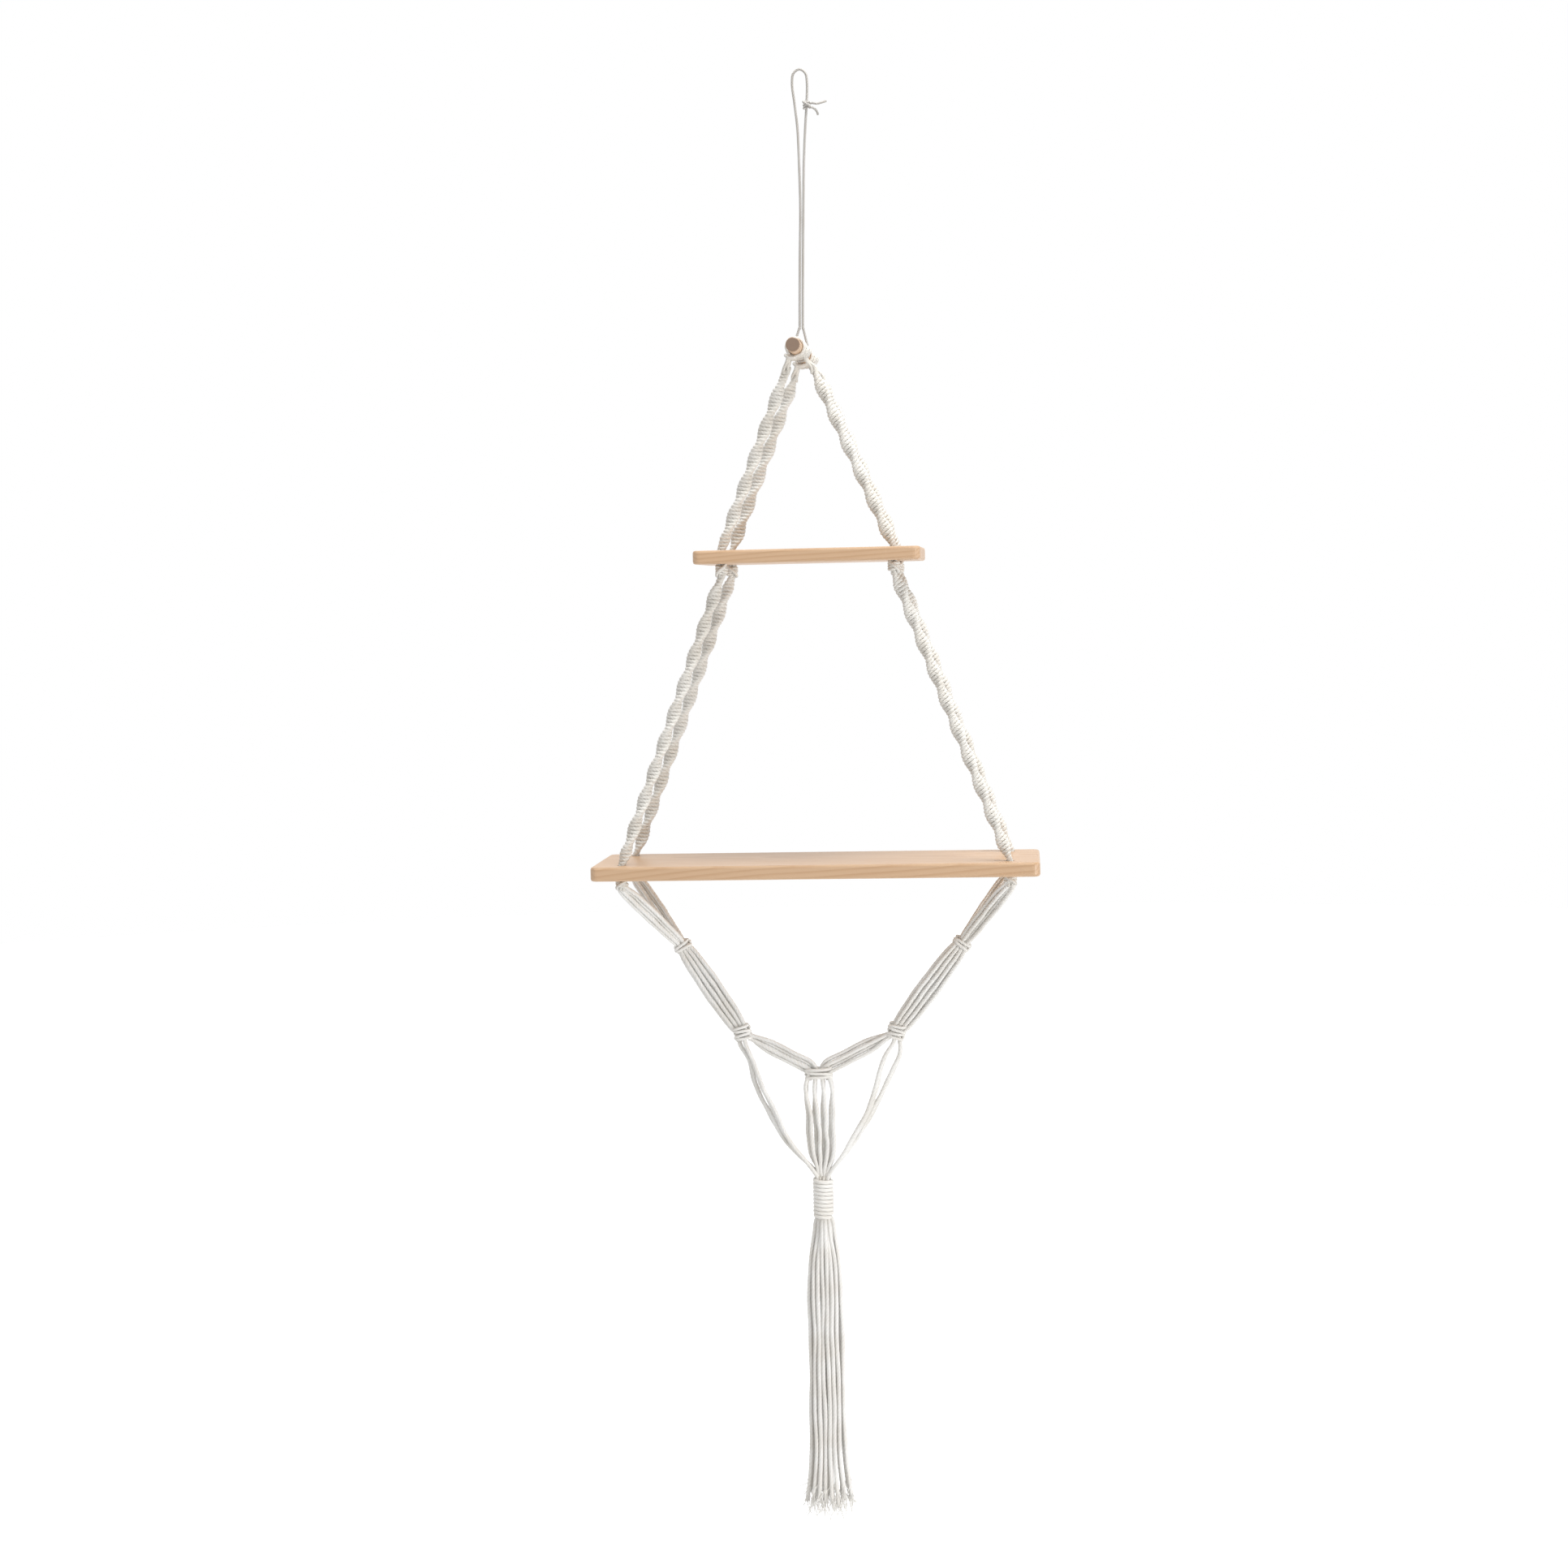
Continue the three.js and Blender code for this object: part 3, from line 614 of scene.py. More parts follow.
def cotton_group(name):
    """Plies, fibres, painted shade in the grooves between the plies, and uneven bleach of a twisted cotton
    cord.
    """
    inputs = [
        ("Crest Colour", "Color", (0.8, 0.75, 0.68, 1)),
        ("Groove Colour", "Color", (0.5, 0.44, 0.36, 1)),
        ("Turns per Metre", "Float", 70.0),
        ("Fibre Density", "Float", 5.0),
    ]
    group, given, result = new_group(name, inputs, LOOK_OUTPUTS)
    lay_map = add_node(group, "UVMap", "Length along and share round", uv_map="lay")
    parts = add_node(group, "SeparateXYZ", "Split the map", Vector=lay_map.outputs["UV"])
    along, round_share = parts.outputs[0], parts.outputs[1]
    ply = maths(group, "MULTIPLY", round_share, float(PLIES), "Ply number")
    crest = maths(group, "PINGPONG", ply, 0.5, "Groove to crest")
    crest = ranged(group, crest, 0.02, 0.3, 0.0, 1.0, "Rounded ply")
    turned = maths(group, "MULTIPLY", along, given["Turns per Metre"], "Turns so far")
    straight = maths(group, "ADD", round_share, turned, "Fibres lie along the cord")
    angle = maths(group, "MULTIPLY", straight, 2 * math.pi, "Angle round")
    ring_x = maths(group, "MULTIPLY", maths(group, "COSINE", angle), given["Fibre Density"], "Round, cosine")
    ring_y = maths(group, "MULTIPLY", maths(group, "SINE", angle), given["Fibre Density"], "Round, sine")
    stretched = maths(group, "MULTIPLY", along, 110.0, "Fibres are long")
    fibre_place = add_node(group, "CombineXYZ", "Fibre coordinates", X=ring_x, Y=ring_y, Z=stretched)
    fibres = noise(group, fibre_place.outputs[0], 1.0, 3.0, "Fibres")
    uneven = noise(group, place_on_shelf(group), 26.0, 2.0, "Uneven bleach")
    uneven = ranged(group, uneven, 0.35, 0.7, 0.0, 0.3, "Faint darker patches")
    shade = maths(group, "MULTIPLY", fibres, 0.5, "Fibre shade")
    crest_shade = maths(group, "MULTIPLY", crest, 0.72, "Ply shade")
    shade = maths(group, "ADD", crest_shade, shade, "Ply and fibre shade", clamp=True)
    # Mixing towards the groove colour between the plies is painted shade.
    body = mixed(group, shade, given["Groove Colour"], given["Crest Colour"], "Groove to crest colour")
    body = mixed(group, uneven, body, (0.7, 0.64, 0.55, 1), "Uneven bleach colour", "MULTIPLY")
    feed(group, body, result["Color"])
    rough = ranged(group, fibres, 0.2, 0.8, 0.98, 0.84, "Rougher between fibres")
    feed(group, rough, result["Roughness"])
    relief = maths(group, "MULTIPLY", fibres, 0.6, "Fibre relief")
    relief = maths(group, "ADD", maths(group, "MULTIPLY", crest, 0.55), relief)
    feed(group, relief, result["Height"])
    return group


def bare_material(name):
    material = bpy.data.materials.new(name)
    material.use_nodes = True
    tree = material.node_tree
    shader = next(n for n in tree.nodes if n.type == "BSDF_PRINCIPLED")
    return material, tree, shader


def finish_shader(tree, shader, body, look, strength, depth, gloss):
    """Gives the shader a body colour, and a look's roughness and relief."""
    bump = add_node(tree, "Bump", "Relief", Strength=strength, Distance=depth, Height=look.outputs["Height"])
    values = {
        "Base Color": body,
        "Roughness": look.outputs["Roughness"],
        "Normal": bump.outputs["Normal"],
        "Specular IOR Level": gloss,
    }
    give(tree, shader, values)


def cotton_material(name, crest, groove, lay, density=5.0):
    """Matt cotton cord with a sheen from its fuzz, made the first time that it is asked for."""
    if name in bpy.data.materials:
        return bpy.data.materials[name]
    material, tree, shader = bare_material(name)
    look = placed_group(
        tree,
        "twisted_cotton",
        cotton_group,
        Crest_Colour=crest,
        Groove_Colour=groove,
        Turns_per_Metre=1 / lay,
        Fibre_Density=density,
    )
    finish_shader(tree, shader, look.outputs["Color"], look, 0.4, 0.3 * MM, 0.2)
    give(tree, shader, {"Sheen Weight": 0.18, "Sheen Roughness": 0.5})
    return material


def cord_material(cords):
    return cotton_material("cotton_cord", cords.crest, cords.groove, cords.cord_lay)


# The slack cords' cotton: the drawn cords' cotton painted lighter, as painted light.
def loose_lit_material(cords):
    return cotton_material("cotton_cord_loose_lit", cords.loose_lit_crest, cords.loose_lit_groove, cords.cord_lay)


def string_material(cords):
    return cotton_material("cotton_string", cords.string_crest, cords.string_groove, cords.string_lay, 4.0)


def grain_group(name):
    """Growth rings round a trunk's middle, with fibres, pores and slow changes of tone, along X."""
    inputs = [
        ("Vector", "Vector", (0, 0, 0)),
        ("Early Colour", "Color", (0.75, 0.55, 0.35, 1)),
        ("Late Colour", "Color", (0.5, 0.3, 0.15, 1)),
        ("Ring Spacing", "Float", 0.003),
        ("Waver", "Float", 0.006),
    ]
    group, given, result = new_group(name, inputs, LOOK_OUTPUTS)
    place = given["Vector"]
    slow = add_node(group, "Mapping", "Slow changes along the trunk", Scale=(2.2, 9, 9), Vector=place)
    sway = noise(group, slow.outputs[0], 1.0, 2.0, "Trunk is not straight")
    sway = maths(group, "MULTIPLY", maths(group, "SUBTRACT", sway, 0.5), given["Waver"], "Waver of the rings")
    parts = add_node(group, "SeparateXYZ", "Split the place", Vector=place)
    squares = [maths(group, "POWER", parts.outputs[axis], 2.0) for axis in (1, 2)]
    square = maths(group, "ADD", *squares, "Squared distance to the pith")
    distance = maths(group, "ADD", maths(group, "SQRT", square), sway, "Distance to the pith")
    ring = maths(group, "DIVIDE", distance, given["Ring Spacing"], "Rings from the pith")
    ring = maths(group, "FRACT", ring, None, "Place in the ring")
    late_in = ranged(group, ring, 0.35, 0.9, 0.0, 1.0, "Slow darkening")
    late_out = ranged(group, ring, 0.93, 1.0, 1.0, 0.0, "Quick end of the year")
    late = maths(group, "MULTIPLY", late_in, late_out, "Late wood")
    fine = add_node(group, "Mapping", "Fibres along the trunk", Scale=(22, 1100, 1100), Vector=place)
    fibres = noise(group, fine.outputs[0], 1.0, 3.0, "Fibres")
    broad = noise(group, slow.outputs[0], 3.0, 2.0, "Slow changes of tone")
    tone = maths(group, "MULTIPLY", late, 0.6, "Late wood share")
    for uneven, amount, clamp in ((fibres, 0.5, False), (broad, 0.6, True)):
        uneven = maths(group, "MULTIPLY", maths(group, "SUBTRACT", uneven, 0.5), amount)
        tone = maths(group, "ADD", tone, uneven, clamp=clamp)
    body = mixed(group, tone, given["Early Colour"], given["Late Colour"], "Ring colour")
    feed(group, body, result["Color"])
    feed(group, ranged(group, fibres, 0.2, 0.8, 0.3, 0.46, "Satin with dull pores"), result["Roughness"])
    sunk = maths(group, "MULTIPLY", late, 0.3, "Late wood lies lower")
    feed(group, maths(group, "SUBTRACT", maths(group, "MULTIPLY", fibres, 0.6), sunk), result["Height"])
    return group


def edge_group(name):
    """A mask of a box's edges: places near two of its faces at once, broken up by small knocks."""
    inputs = [
        ("Middle", "Vector", (0, 0, 0)),
        ("Half Size", "Vector", (1, 1, 1)),
        ("Width", "Float", 0.002),
    ]
    group, given, result = new_group(name, inputs, [("Mask", "Float")])
    space = place_on_shelf(group)
    offset = vector_maths(group, "SUBTRACT", "From the middle", space, given["Middle"])
    size = vector_maths(group, "ABSOLUTE", "Either side", offset)
    inward = vector_maths(group, "SUBTRACT", "Depth under each face", given["Half Size"], size)
    x, y, z = add_node(group, "SeparateXYZ", "Three depths", Vector=inward).outputs
    lesser = maths(group, "MINIMUM", x, y, "Lesser of two")
    greater = maths(group, "MAXIMUM", x, y, "Greater of two")
    second = maths(group, "MAXIMUM", lesser, maths(group, "MINIMUM", greater, z), "Second smallest depth")
    knocks = noise(group, space, 160.0, 3.0, "Knocks")
    reach = maths(group, "MULTIPLY", given["Width"], maths(group, "ADD", knocks, 0.35), "Uneven width")
    near = maths(group, "DIVIDE", second, reach, "Share of the width")
    feed(group, maths(group, "SUBTRACT", 1.0, near, "Nearness to the edge", clamp=True), result["Mask"])
    return group


def vector_maths(tree, operation, label, *vectors):
    """A Vector Math node on one or two vectors."""
    made = add_node(tree, "VectorMath", label, operation=operation)
    for place, vector in enumerate(vectors):
        feed(tree, vector, made.inputs[place])
    return made.outputs[0]


def grain_look(tree, space, location, turn, early, late, ring_spacing, waver):
    """The grain of a piece of wood that is cut from its trunk at a place and a turn."""
    trunk = add_node(tree, "Mapping", "Place in the trunk", Location=location, Rotation=turn, Vector=space)
    return placed_group(
        tree,
        "wood_grain",
        grain_group,
        Early_Colour=early,
        Late_Colour=late,
        Ring_Spacing=ring_spacing,
        Waver=waver,
        Vector=trunk.outputs[0],
    )


def pine_material(name, node, wood, pith_shift):
    """Sanded pine with growth rings that show as stripes, arches and end grain, and with worn edges."""
    lowest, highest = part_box(node)
    middle = (lowest + highest) / 2
    half = (highest - lowest) / 2
    material, tree, shader = bare_material(name)
    pith = (-middle.x, pith_shift - middle.y, wood.pith_drop - middle.z)
    turn = (0, math.radians(1.6), math.radians(2.2))
    look = grain_look(
        tree, place_on_shelf(tree), pith, turn, wood.early, wood.late, wood.ring_spacing, PINE_WAVER
    )
    worn = placed_group(tree, "edge_wear", edge_group, Middle=middle, Half_Size=half, Width=wood.worn_width)
    body = mixed(tree, worn.outputs["Mask"], look.outputs["Color"], tuple(wood.worn), "Worn edges")
    satin_wood(tree, shader, body, look)
    return material


def satin_wood(tree, shader, body, look):
    """Satin wood: its colour, its roughness and a shallow relief of the grain."""
    finish_shader(tree, shader, body, look, 0.35, 0.25 * MM, 0.7)


def dowel_material(name, wood):
    """Turned wood whose grain runs along Y, with dark end grain made darker still by painted shade on the end
    faces.
    """
    middle = centre_of("dowel")
    half = half_of("dowel", 1)
    material, tree, shader = bare_material(name)
    space = place_on_shelf(tree)
    pith = (0, -middle[0] + 4 * MM, -middle[2] + 6 * MM)
    turn = (0, 0, math.radians(90))
    spacing = wood.ring_spacing / 3
    look = grain_look(tree, space, pith, turn, wood.dowel_early, wood.dowel_late, spacing, DOWEL_WAVER)
    parts = add_node(tree, "SeparateXYZ", "Split the place", Vector=space)
    reach = maths(tree, "ABSOLUTE", parts.outputs[1], None, "Either end")
    # The dark end faces are partly end grain and partly painted shade.
    end = ranged(tree, reach, half - 1.2 * MM, half - 0.2 * MM, 0.0, 0.85, "End grain and painted shade")
    body = mixed(tree, end, look.outputs["Color"], tuple(wood.dowel_end_grain_and_shade), "Dark ends")
    satin_wood(tree, shader, body, look)
    return material


# Hanging string. The route repeats the one in the part's source.

# Points (x, z) in millimetres, from the left strand at the dowel round the eye to the right strand.
STRING_ROUTE = [
    (-5.35, -284), (-4.9, -262), (-3.5, -205), (-1.85, -148), (-2.2, -104), (-3.3, -62), (-5.9, -36),
    (-8.2, -13), (-6.4, -2.6), (0.1, 1.5), (6.6, -2.6), (8.4, -13), (7.4, -37.5), (5.5, -62),
    (3, -104), (1.65, -148), (0, -205), (-1.4, -262), (-1.85, -284),
]
EYE_KNOT_POINT = 12


def in_metres(pairs):
    """Points (x, z) in millimetres, in the plane y = 0, as an array of points in metres."""
    return np.array([(x * MM, 0.0, z * MM) for x, z in pairs])


def string_piece(name, routes, cords, thick=1):
    """Thin string, thinner where it is drawn into a knot."""
    diameter = cords.string_diameter * thick
    return cord_piece(name, routes, diameter, cords.string_lay, string_material(cords))


def make_string(cords):
    """The string's loop over the nail, as one taut cord."""
    route = smooth_route(in_metres(STRING_ROUTE), 1.2 * MM)
    piece = string_piece("hanging_string_loop", [route], cords)
    settle(piece, "hanging_string", "string", "hanging_cord")


EYE_KNOT_THICK = 0.92
# The knot on the eye: its cord's way over the coil in string diameters, and its two tails in millimetres.
KNOT_OVER = ((-0.9, 0.3, 1.3), (-1.1, -1.0, 0.9), (0, -1.75, 0.1), (1.2, -1.2, -0.6), (1.1, 0.2, -1.2))
LONG_TAIL = ((1, 1, 1), (6, -1, 1.5), (12, -2.5, 0.4), (17, -1.5, 1.6), (22, 0.5, 3.4))
SHORT_TAIL = ((1, -1, -1), (5, -2, -3), (9, -1, -5), (11.5, 0.5, -8), (12.5, 1, -11.5))


def make_eye_knot(cords):
    """The knot that joins the string's ends on its right strand, with two tails."""
    at = in_metres([STRING_ROUTE[EYE_KNOT_POINT]])[0]
    size = cords.string_diameter
    step = cords.string_lay / LAY_STEPS
    routes = [winding(at, size * 1.02, size * 2.3, 2.3, 0.3, 2.5, step)]
    for way, unit_length in ((KNOT_OVER, size), (LONG_TAIL, MM), (SHORT_TAIL, MM)):
        routes.append(smooth_route([at + np.array(point) * unit_length for point in way], step))
    piece = string_piece("eye_knot", routes, cords, EYE_KNOT_THICK)
    settle(piece, "hanging_string", "string", "hanging_cord_knot")


def make_sling(cords):
    """The string's lower bight, which opens round the dowel and passes under it."""
    middle = centre_of("dowel")
    radius = half_of("dowel", 2) + cords.string_diameter / 2
    (left, top), (right, _) = STRING_ROUTE[0], STRING_ROUTE[-1]
    high = top * MM + cords.string_diameter
    points = [np.array([left * MM, 0, high])]
    open_angle = math.acos(radius / (top * MM - middle[2]))
    for angle in np.linspace(math.pi / 2 + open_angle, 2.5 * math.pi - open_angle, 15):
        points.append(middle + np.array([math.cos(angle), 0, math.sin(angle)]) * radius)
    points.append(np.array([right * MM, 0, high]))
    route = smooth_route(points, cords.string_lay / LAY_STEPS)
    piece = string_piece("dowel_string_sling", [route], cords)
    bend_start = (left * MM, 0, top * MM)
    bend_end = (left * MM, 0, middle[2] + radius)
    settle_between(piece, ("string_bight", "dowel"), bend_start, bend_end, "string", "dowel_sling")


# Dowel and hitches

# How far to either side of the dowel's middle the ropes start, each side's places along it, how far down
# the hitches' legs reach, and the share of its thickness that a hitch's cord keeps.
TOP_OUT = {"left": 12 * MM, "right": 18.6 * MM}
HITCH_SLOTS = {"left": (0, 2), "right": (1, 3)}
LEG_DROP = 28 * MM
HITCH_THICK = 0.96
# Where a hitch's cord lies round the dowel, in degrees, and where it leaves for the bar on either side.
ROUND_DOWEL = (-40, 0, 45, 90, 135, 180, 225, 270)
RIGHT_BAR, LEFT_BAR = 358, 322


def hitch_half(sign, slot_y, leg, end, radius, cord):
    """Half of a hitch: one leg from its end in the bunch, up and once round the dowel, out to the bar."""

    def round_dowel(degrees, reach, y):
        angle = math.radians(degrees)
        return np.array([sign * reach * math.cos(angle), slot_y + leg * y, reach * math.sin(angle)])

    inner = radius + cord / 2
    points = [end + DOWN * cord * 1.6, end, (end + round_dowel(-52, inner * 1.1, cord / 2)) / 2]
    for degrees in ROUND_DOWEL:
        y = cord * (0.5 if degrees < 90 else 0.5 + 0.4 * min(1, (degrees - 90) / 120))
        points.append(round_dowel(degrees, inner, y))
    bar = RIGHT_BAR if sign > 0 else LEFT_BAR
    points.append(round_dowel(bar - 46, inner + cord * 0.3, cord * 1.02))
    points.append(round_dowel(bar - 16, inner + cord * 0.8, cord * 0.95))
    points.append(round_dowel(bar, inner + cord * 0.95, cord * 0.45))
    return points


def make_hitches(cords):
    """Two hitches for each rope, each one cord doubled over the dowel with its bight across its legs."""
    middle = centre_of("dowel")
    radius = half_of("dowel", 2)
    cord = cords.cord_diameter
    for row, side in CORNERS:
        sign = SIGN[side]
        row_y = centre_of(f"{row}_{side}_upper_knot")[1]
        for index, slot in enumerate(HITCH_SLOTS[side]):
            slot_y = (slot - 1.5) * 2 * cords.pitch
            halves = []
            for leg in (-1, 1):
                out = sign * TOP_OUT[side] + leg * cords.pitch / 2
                end = np.array([out, (index - 0.5) * cords.pitch, -LEG_DROP * 0.78])
                halves.append(hitch_half(sign, slot_y, leg, end, radius, cord))
            points = np.array(halves[0] + halves[1][::-1]) + [middle[0], row_y, middle[2]]
            route = smooth_route(points, cords.cord_lay / LAY_STEPS)
            name = f"{row}_{side}_hitch_{index + 1}"
            thick = cord * HITCH_THICK
            piece = cord_piece(f"{name}_cord", [route], thick, cords.cord_lay, cord_material(cords))
            settle(piece, "dowel", "cord", name)


# Ropes and stop knots

# Shares of their lay and of their thickness that cords keep when they are drawn tight.
DRAWN_LAY = 0.8
STOP_KNOT_THICK = 0.95
# Radians by which the twist of a right, a back or a lower rope starts further on.
RIGHT_PHASE, BACK_PHASE, LOWER_PHASE = 0.9, 1.3, 0.5


def make_ropes(cords):
    """The ropes of half knots over both boards."""
    thin = cords.cord_diameter * cords.drawn_share
    for tier in TIERS:
        for row, side in CORNERS:
            top, bottom = rope_ends(row, side, tier)
            phase = RIGHT_PHASE * (side == "right") + BACK_PHASE * (row == "back")
            phase += LOWER_PHASE * (tier == "lower")
            routes = rope_routes(top, bottom, cords, phase)
            node = f"{row}_{side}_{tier}_rope"
            lay = cords.cord_lay * DRAWN_LAY
            piece = cord_piece(f"{node}_half_knots", routes, thin, lay, cord_material(cords))
            settle(piece, f"{row}_{tier}_ropes", "cord", node)


def rope_ends(row, side, tier):
    """A rope hangs from the dowel or from a stop knot, straight down into the hole of its board."""
    below = centre_of(f"{row}_{side}_{tier}_knot")
    bottom = at_height(below, top_of(f"{tier}_board"))
    if tier == "upper":
        dowel = centre_of("dowel")
        top = np.array([dowel[0] + SIGN[side] * TOP_OUT[side], below[1], dowel[2] - LEG_DROP * 0.86])
    else:
        above = f"{row}_{side}_upper_knot"
        top = at_height(centre_of(above), bottom_of(above))
    return top, bottom


# Layouts of a group of cords: each cord's place across and front to back, in pitches.
SQUARE_LAYOUT = [(-0.5, -0.5), (0.5, -0.5), (-0.5, 0.5), (0.5, 0.5)]
FLAT_LAYOUT = [(-1.5, -0.35), (0.5, -0.35), (-0.5, 0.35), (1.5, 0.35)]
COLUMN_LAYOUT = [(0, -1.5), (0, -0.5), (0, 0.5), (0, 1.5)]
SPREAD_LAYOUT = [
    (-2.6, -0.45), (-1.1, -0.45), (0.4, -0.45), (1.9, -0.45),
    (-1.9, 0.45), (-0.4, 0.45), (1.1, 0.45), (2.6, 0.45),
]
STAGGERED_LAYOUT = [
    (-1.75, -0.4), (-0.75, -0.4), (0.25, -0.4), (1.25, -0.4),
    (-1.25, 0.4), (-0.25, 0.4), (0.75, 0.4), (1.75, 0.4),
]
DOUBLE_LAYOUT = [
    (-1.5, -0.5), (-0.5, -0.5), (0.5, -0.5), (1.5, -0.5),
    (-1.5, 0.5), (-0.5, 0.5), (0.5, 0.5), (1.5, 0.5),
]


# The last turn of a stop knot, over its front, in shares of its radius and height.
STOP_KNOT_OVER = (
    (-0.75, -0.35, 0.6), (-0.7, -0.75, 0.35), (0.1, -1.12, 0), (0.75, -0.72, -0.35), (0.8, -0.2, -0.6)
)
STOP_KNOT_LEAN = 0.22


def make_stop_knots(cords):
    """The four cords that fill each hole of a board, and the knot under it that carries the board."""
    thin = cords.cord_diameter * STOP_KNOT_THICK
    for tier in TIERS:
        for row, side in CORNERS:
            node = f"{row}_{side}_{tier}_knot"
            routes = stop_knot_routes(cords, node, f"{tier}_board", thin, SIDES.index(side), row == "back")
            lay = cords.cord_lay * DRAWN_LAY
            piece = cord_piece(f"{node}_cords", routes, thin, lay, cord_material(cords))
            settle(piece, f"{tier}_board", "cord", node)


def stop_knot_routes(cords, node, board, thin, index, at_back):
    """The cords in the hole, the turns round them and the last turn over the front."""
    step = cords.cord_lay / LAY_STEPS
    lowest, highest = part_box(node)
    middle = centre_of(node)
    height = bottom_of(board) - lowest.z
    radius = half_of(node, 0)
    top = at_height(middle, highest.z + thin * 0.3)
    bottom = at_height(middle, lowest.z - thin)
    stations = [(top, DOWN, SQUARE_LAYOUT, thin * 0.95), (bottom, DOWN, SQUARE_LAYOUT, thin * 0.9)]
    routes = group_routes(stations, step)
    at = at_height(middle, lowest.z + height / 2)
    flip = 1 if (index + at_back) % 2 else -1
    turns = height / thin * 0.86
    lean = flip * STOP_KNOT_LEAN
    routes.append(winding(at, radius - thin / 2, height - thin, turns, lean, index * 2.0, step))
    reach = radius - thin * 0.2
    points = [at + np.array([flip * x * reach, y * reach, z * height]) for x, y, z in STOP_KNOT_OVER]
    routes.append(smooth_route(points, step))
    return routes


# Net under the lower board


def side_places(side):
    """The middles of a side's net knots: where its fans gather, and where its band forks."""
    return centre_of(f"{side}_gather_knot"), centre_of(f"{side}_fork_knot")


def slack_group(name, stations, kind, rng, cords):
    """A group of slack cords through the same stations, as one piece."""
    routes = group_routes(stations, cords.cord_lay / LAY_STEPS)
    return loose_cords(name, [loosened(route, kind, rng) for route in routes], cords)


# Square knots of the net: half width and half depth in millimetres, and number of half knots.
GATHER_KNOT = (9.4, 5.4, 2)
FORK_KNOT = (8.8, 5.8, 4)
CENTRE_KNOT = (14, 6.6, 3)


def square_knot(cords, node, body, at, along, sizes, thick=0.9):
    """A square knot of the net, tied with cords that are drawn thinner."""
    half_width, half_depth, count = sizes
    step = cords.cord_lay / LAY_STEPS
    routes = half_knots(at, along, half_width * MM, half_depth * MM, count, cords.pitch, step)
    diameter = cords.cord_diameter * thick
    piece = cord_piece(f"{node}_cords", routes, diameter, cords.cord_lay, loose_lit_material(cords))
    settle(piece, body, "cord", node)


def make_fans(cords):
    """Four cords from each stop knot, which spread and gather again at the net's first knots."""
    rng = np.random.default_rng(SEEDS["fan"])
    cord, close = cords.cord_diameter, cords.close_pitch
    spread = cords.pitch * 0.95
    for side in SIDES:
        gather, fork = side_places(side)
        for row in ROWS:
            knot = f"{row}_{side}_lower_knot"
            start = at_height(centre_of(knot), bottom_of(knot))
            along = unit(gather - start)
            inside = gather + unit(fork - gather) * cord
            stations = [
                (start + UP * cord, DOWN, SQUARE_LAYOUT, close),
                (start + along * cord * 0.4, along + DOWN, FLAT_LAYOUT, close * 0.9),
                (start * 0.82 + gather * 0.18, along, FLAT_LAYOUT, spread),
                (start * 0.4 + gather * 0.6, along, FLAT_LAYOUT, spread),
                (gather - along * cord * 2, along, FLAT_LAYOUT, close * 0.95),
                (inside, fork - gather, SQUARE_LAYOUT, close * 0.9),
            ]
            node = f"{row}_{side}_fan"
            piece = slack_group(f"{node}_cords", stations, "fan", rng, cords)
            settle(piece, "lower_board", "cord", node)


def make_gather_knots(cords):
    """The square knots that gather each side's two fans."""
    for side in SIDES:
        gather, fork = side_places(side)
        square_knot(cords, f"{side}_gather_knot", "lower_board", gather, fork - gather, GATHER_KNOT)


def make_bands(cords):
    """Eight cords, four in front and four behind, from each gathering knot to its fork."""
    rng = np.random.default_rng(SEEDS["band"])
    cord, close, wide = cords.cord_diameter, cords.close_pitch, cords.pitch * 0.92
    for side in SIDES:
        gather, fork = side_places(side)
        along = unit(fork - gather)
        total = np.linalg.norm(fork - gather)
        stations = [
            (gather - along * cord * 0.5, along, DOUBLE_LAYOUT, close * 0.85),
            (gather + along * cord * 2, along, SPREAD_LAYOUT, close * 0.95),
            (gather + along * total * 0.32, along, SPREAD_LAYOUT, wide),
            (gather + along * total * 0.68, along, SPREAD_LAYOUT, wide),
            (fork - along * cord * 2.2, along, SPREAD_LAYOUT, close * 0.95),
            (fork + along * cord * 0.4, along, DOUBLE_LAYOUT, close * 0.85),
        ]
        piece = slack_group(f"{side}_band_cords", stations, "band", rng, cords)
        bend_start, bend_end = gather + along * cord * 1.5, gather + along * cord * 6
        settle_between(piece, ("lower_board", "lower_net"), bend_start, bend_end, "cord", f"{side}_band")


def make_fork_knots(cords):
    """The square knots where each band parts into an inner band and the slack side strands."""
    for side in SIDES:
        gather, fork = side_places(side)
        axis = unit(unit(fork - gather) + DOWN * 1.6)
        square_knot(cords, f"{side}_fork_knot", "lower_net", fork, axis, FORK_KNOT)


def make_inner_bands(cords):
    """Four cords side by side from each fork to the centre knot."""
    rng = np.random.default_rng(SEEDS["inner_band"])
    cord, close, pitch = cords.cord_diameter, cords.close_pitch, cords.pitch
    centre = centre_of("centre_knot")
    for side in SIDES:
        fork = side_places(side)[1]
        target = centre + np.array([SIGN[side] * 5 * MM, 0, 5 * MM])
        along = unit(target - fork)
        total = np.linalg.norm(target - fork)
        stations = [
            (fork - along * cord * 0.4, along, SQUARE_LAYOUT, close * 0.9),
            (fork + along * cord * 2.2, along, SQUARE_LAYOUT, close * 1.1),
            (fork + along * total * 0.38, along, FLAT_LAYOUT, pitch),
            (fork + along * total * 0.7, along, FLAT_LAYOUT, pitch),
            (target - along * cord * 1.4, along, FLAT_LAYOUT, pitch * 0.98),
            (target + (along + DOWN) * cord, along + DOWN, SQUARE_LAYOUT, close),
        ]
        piece = slack_group(f"{side}_inner_band_cords", stations, "inner_band", rng, cords)
        settle(piece, "lower_net", "cord", f"{side}_inner_band")


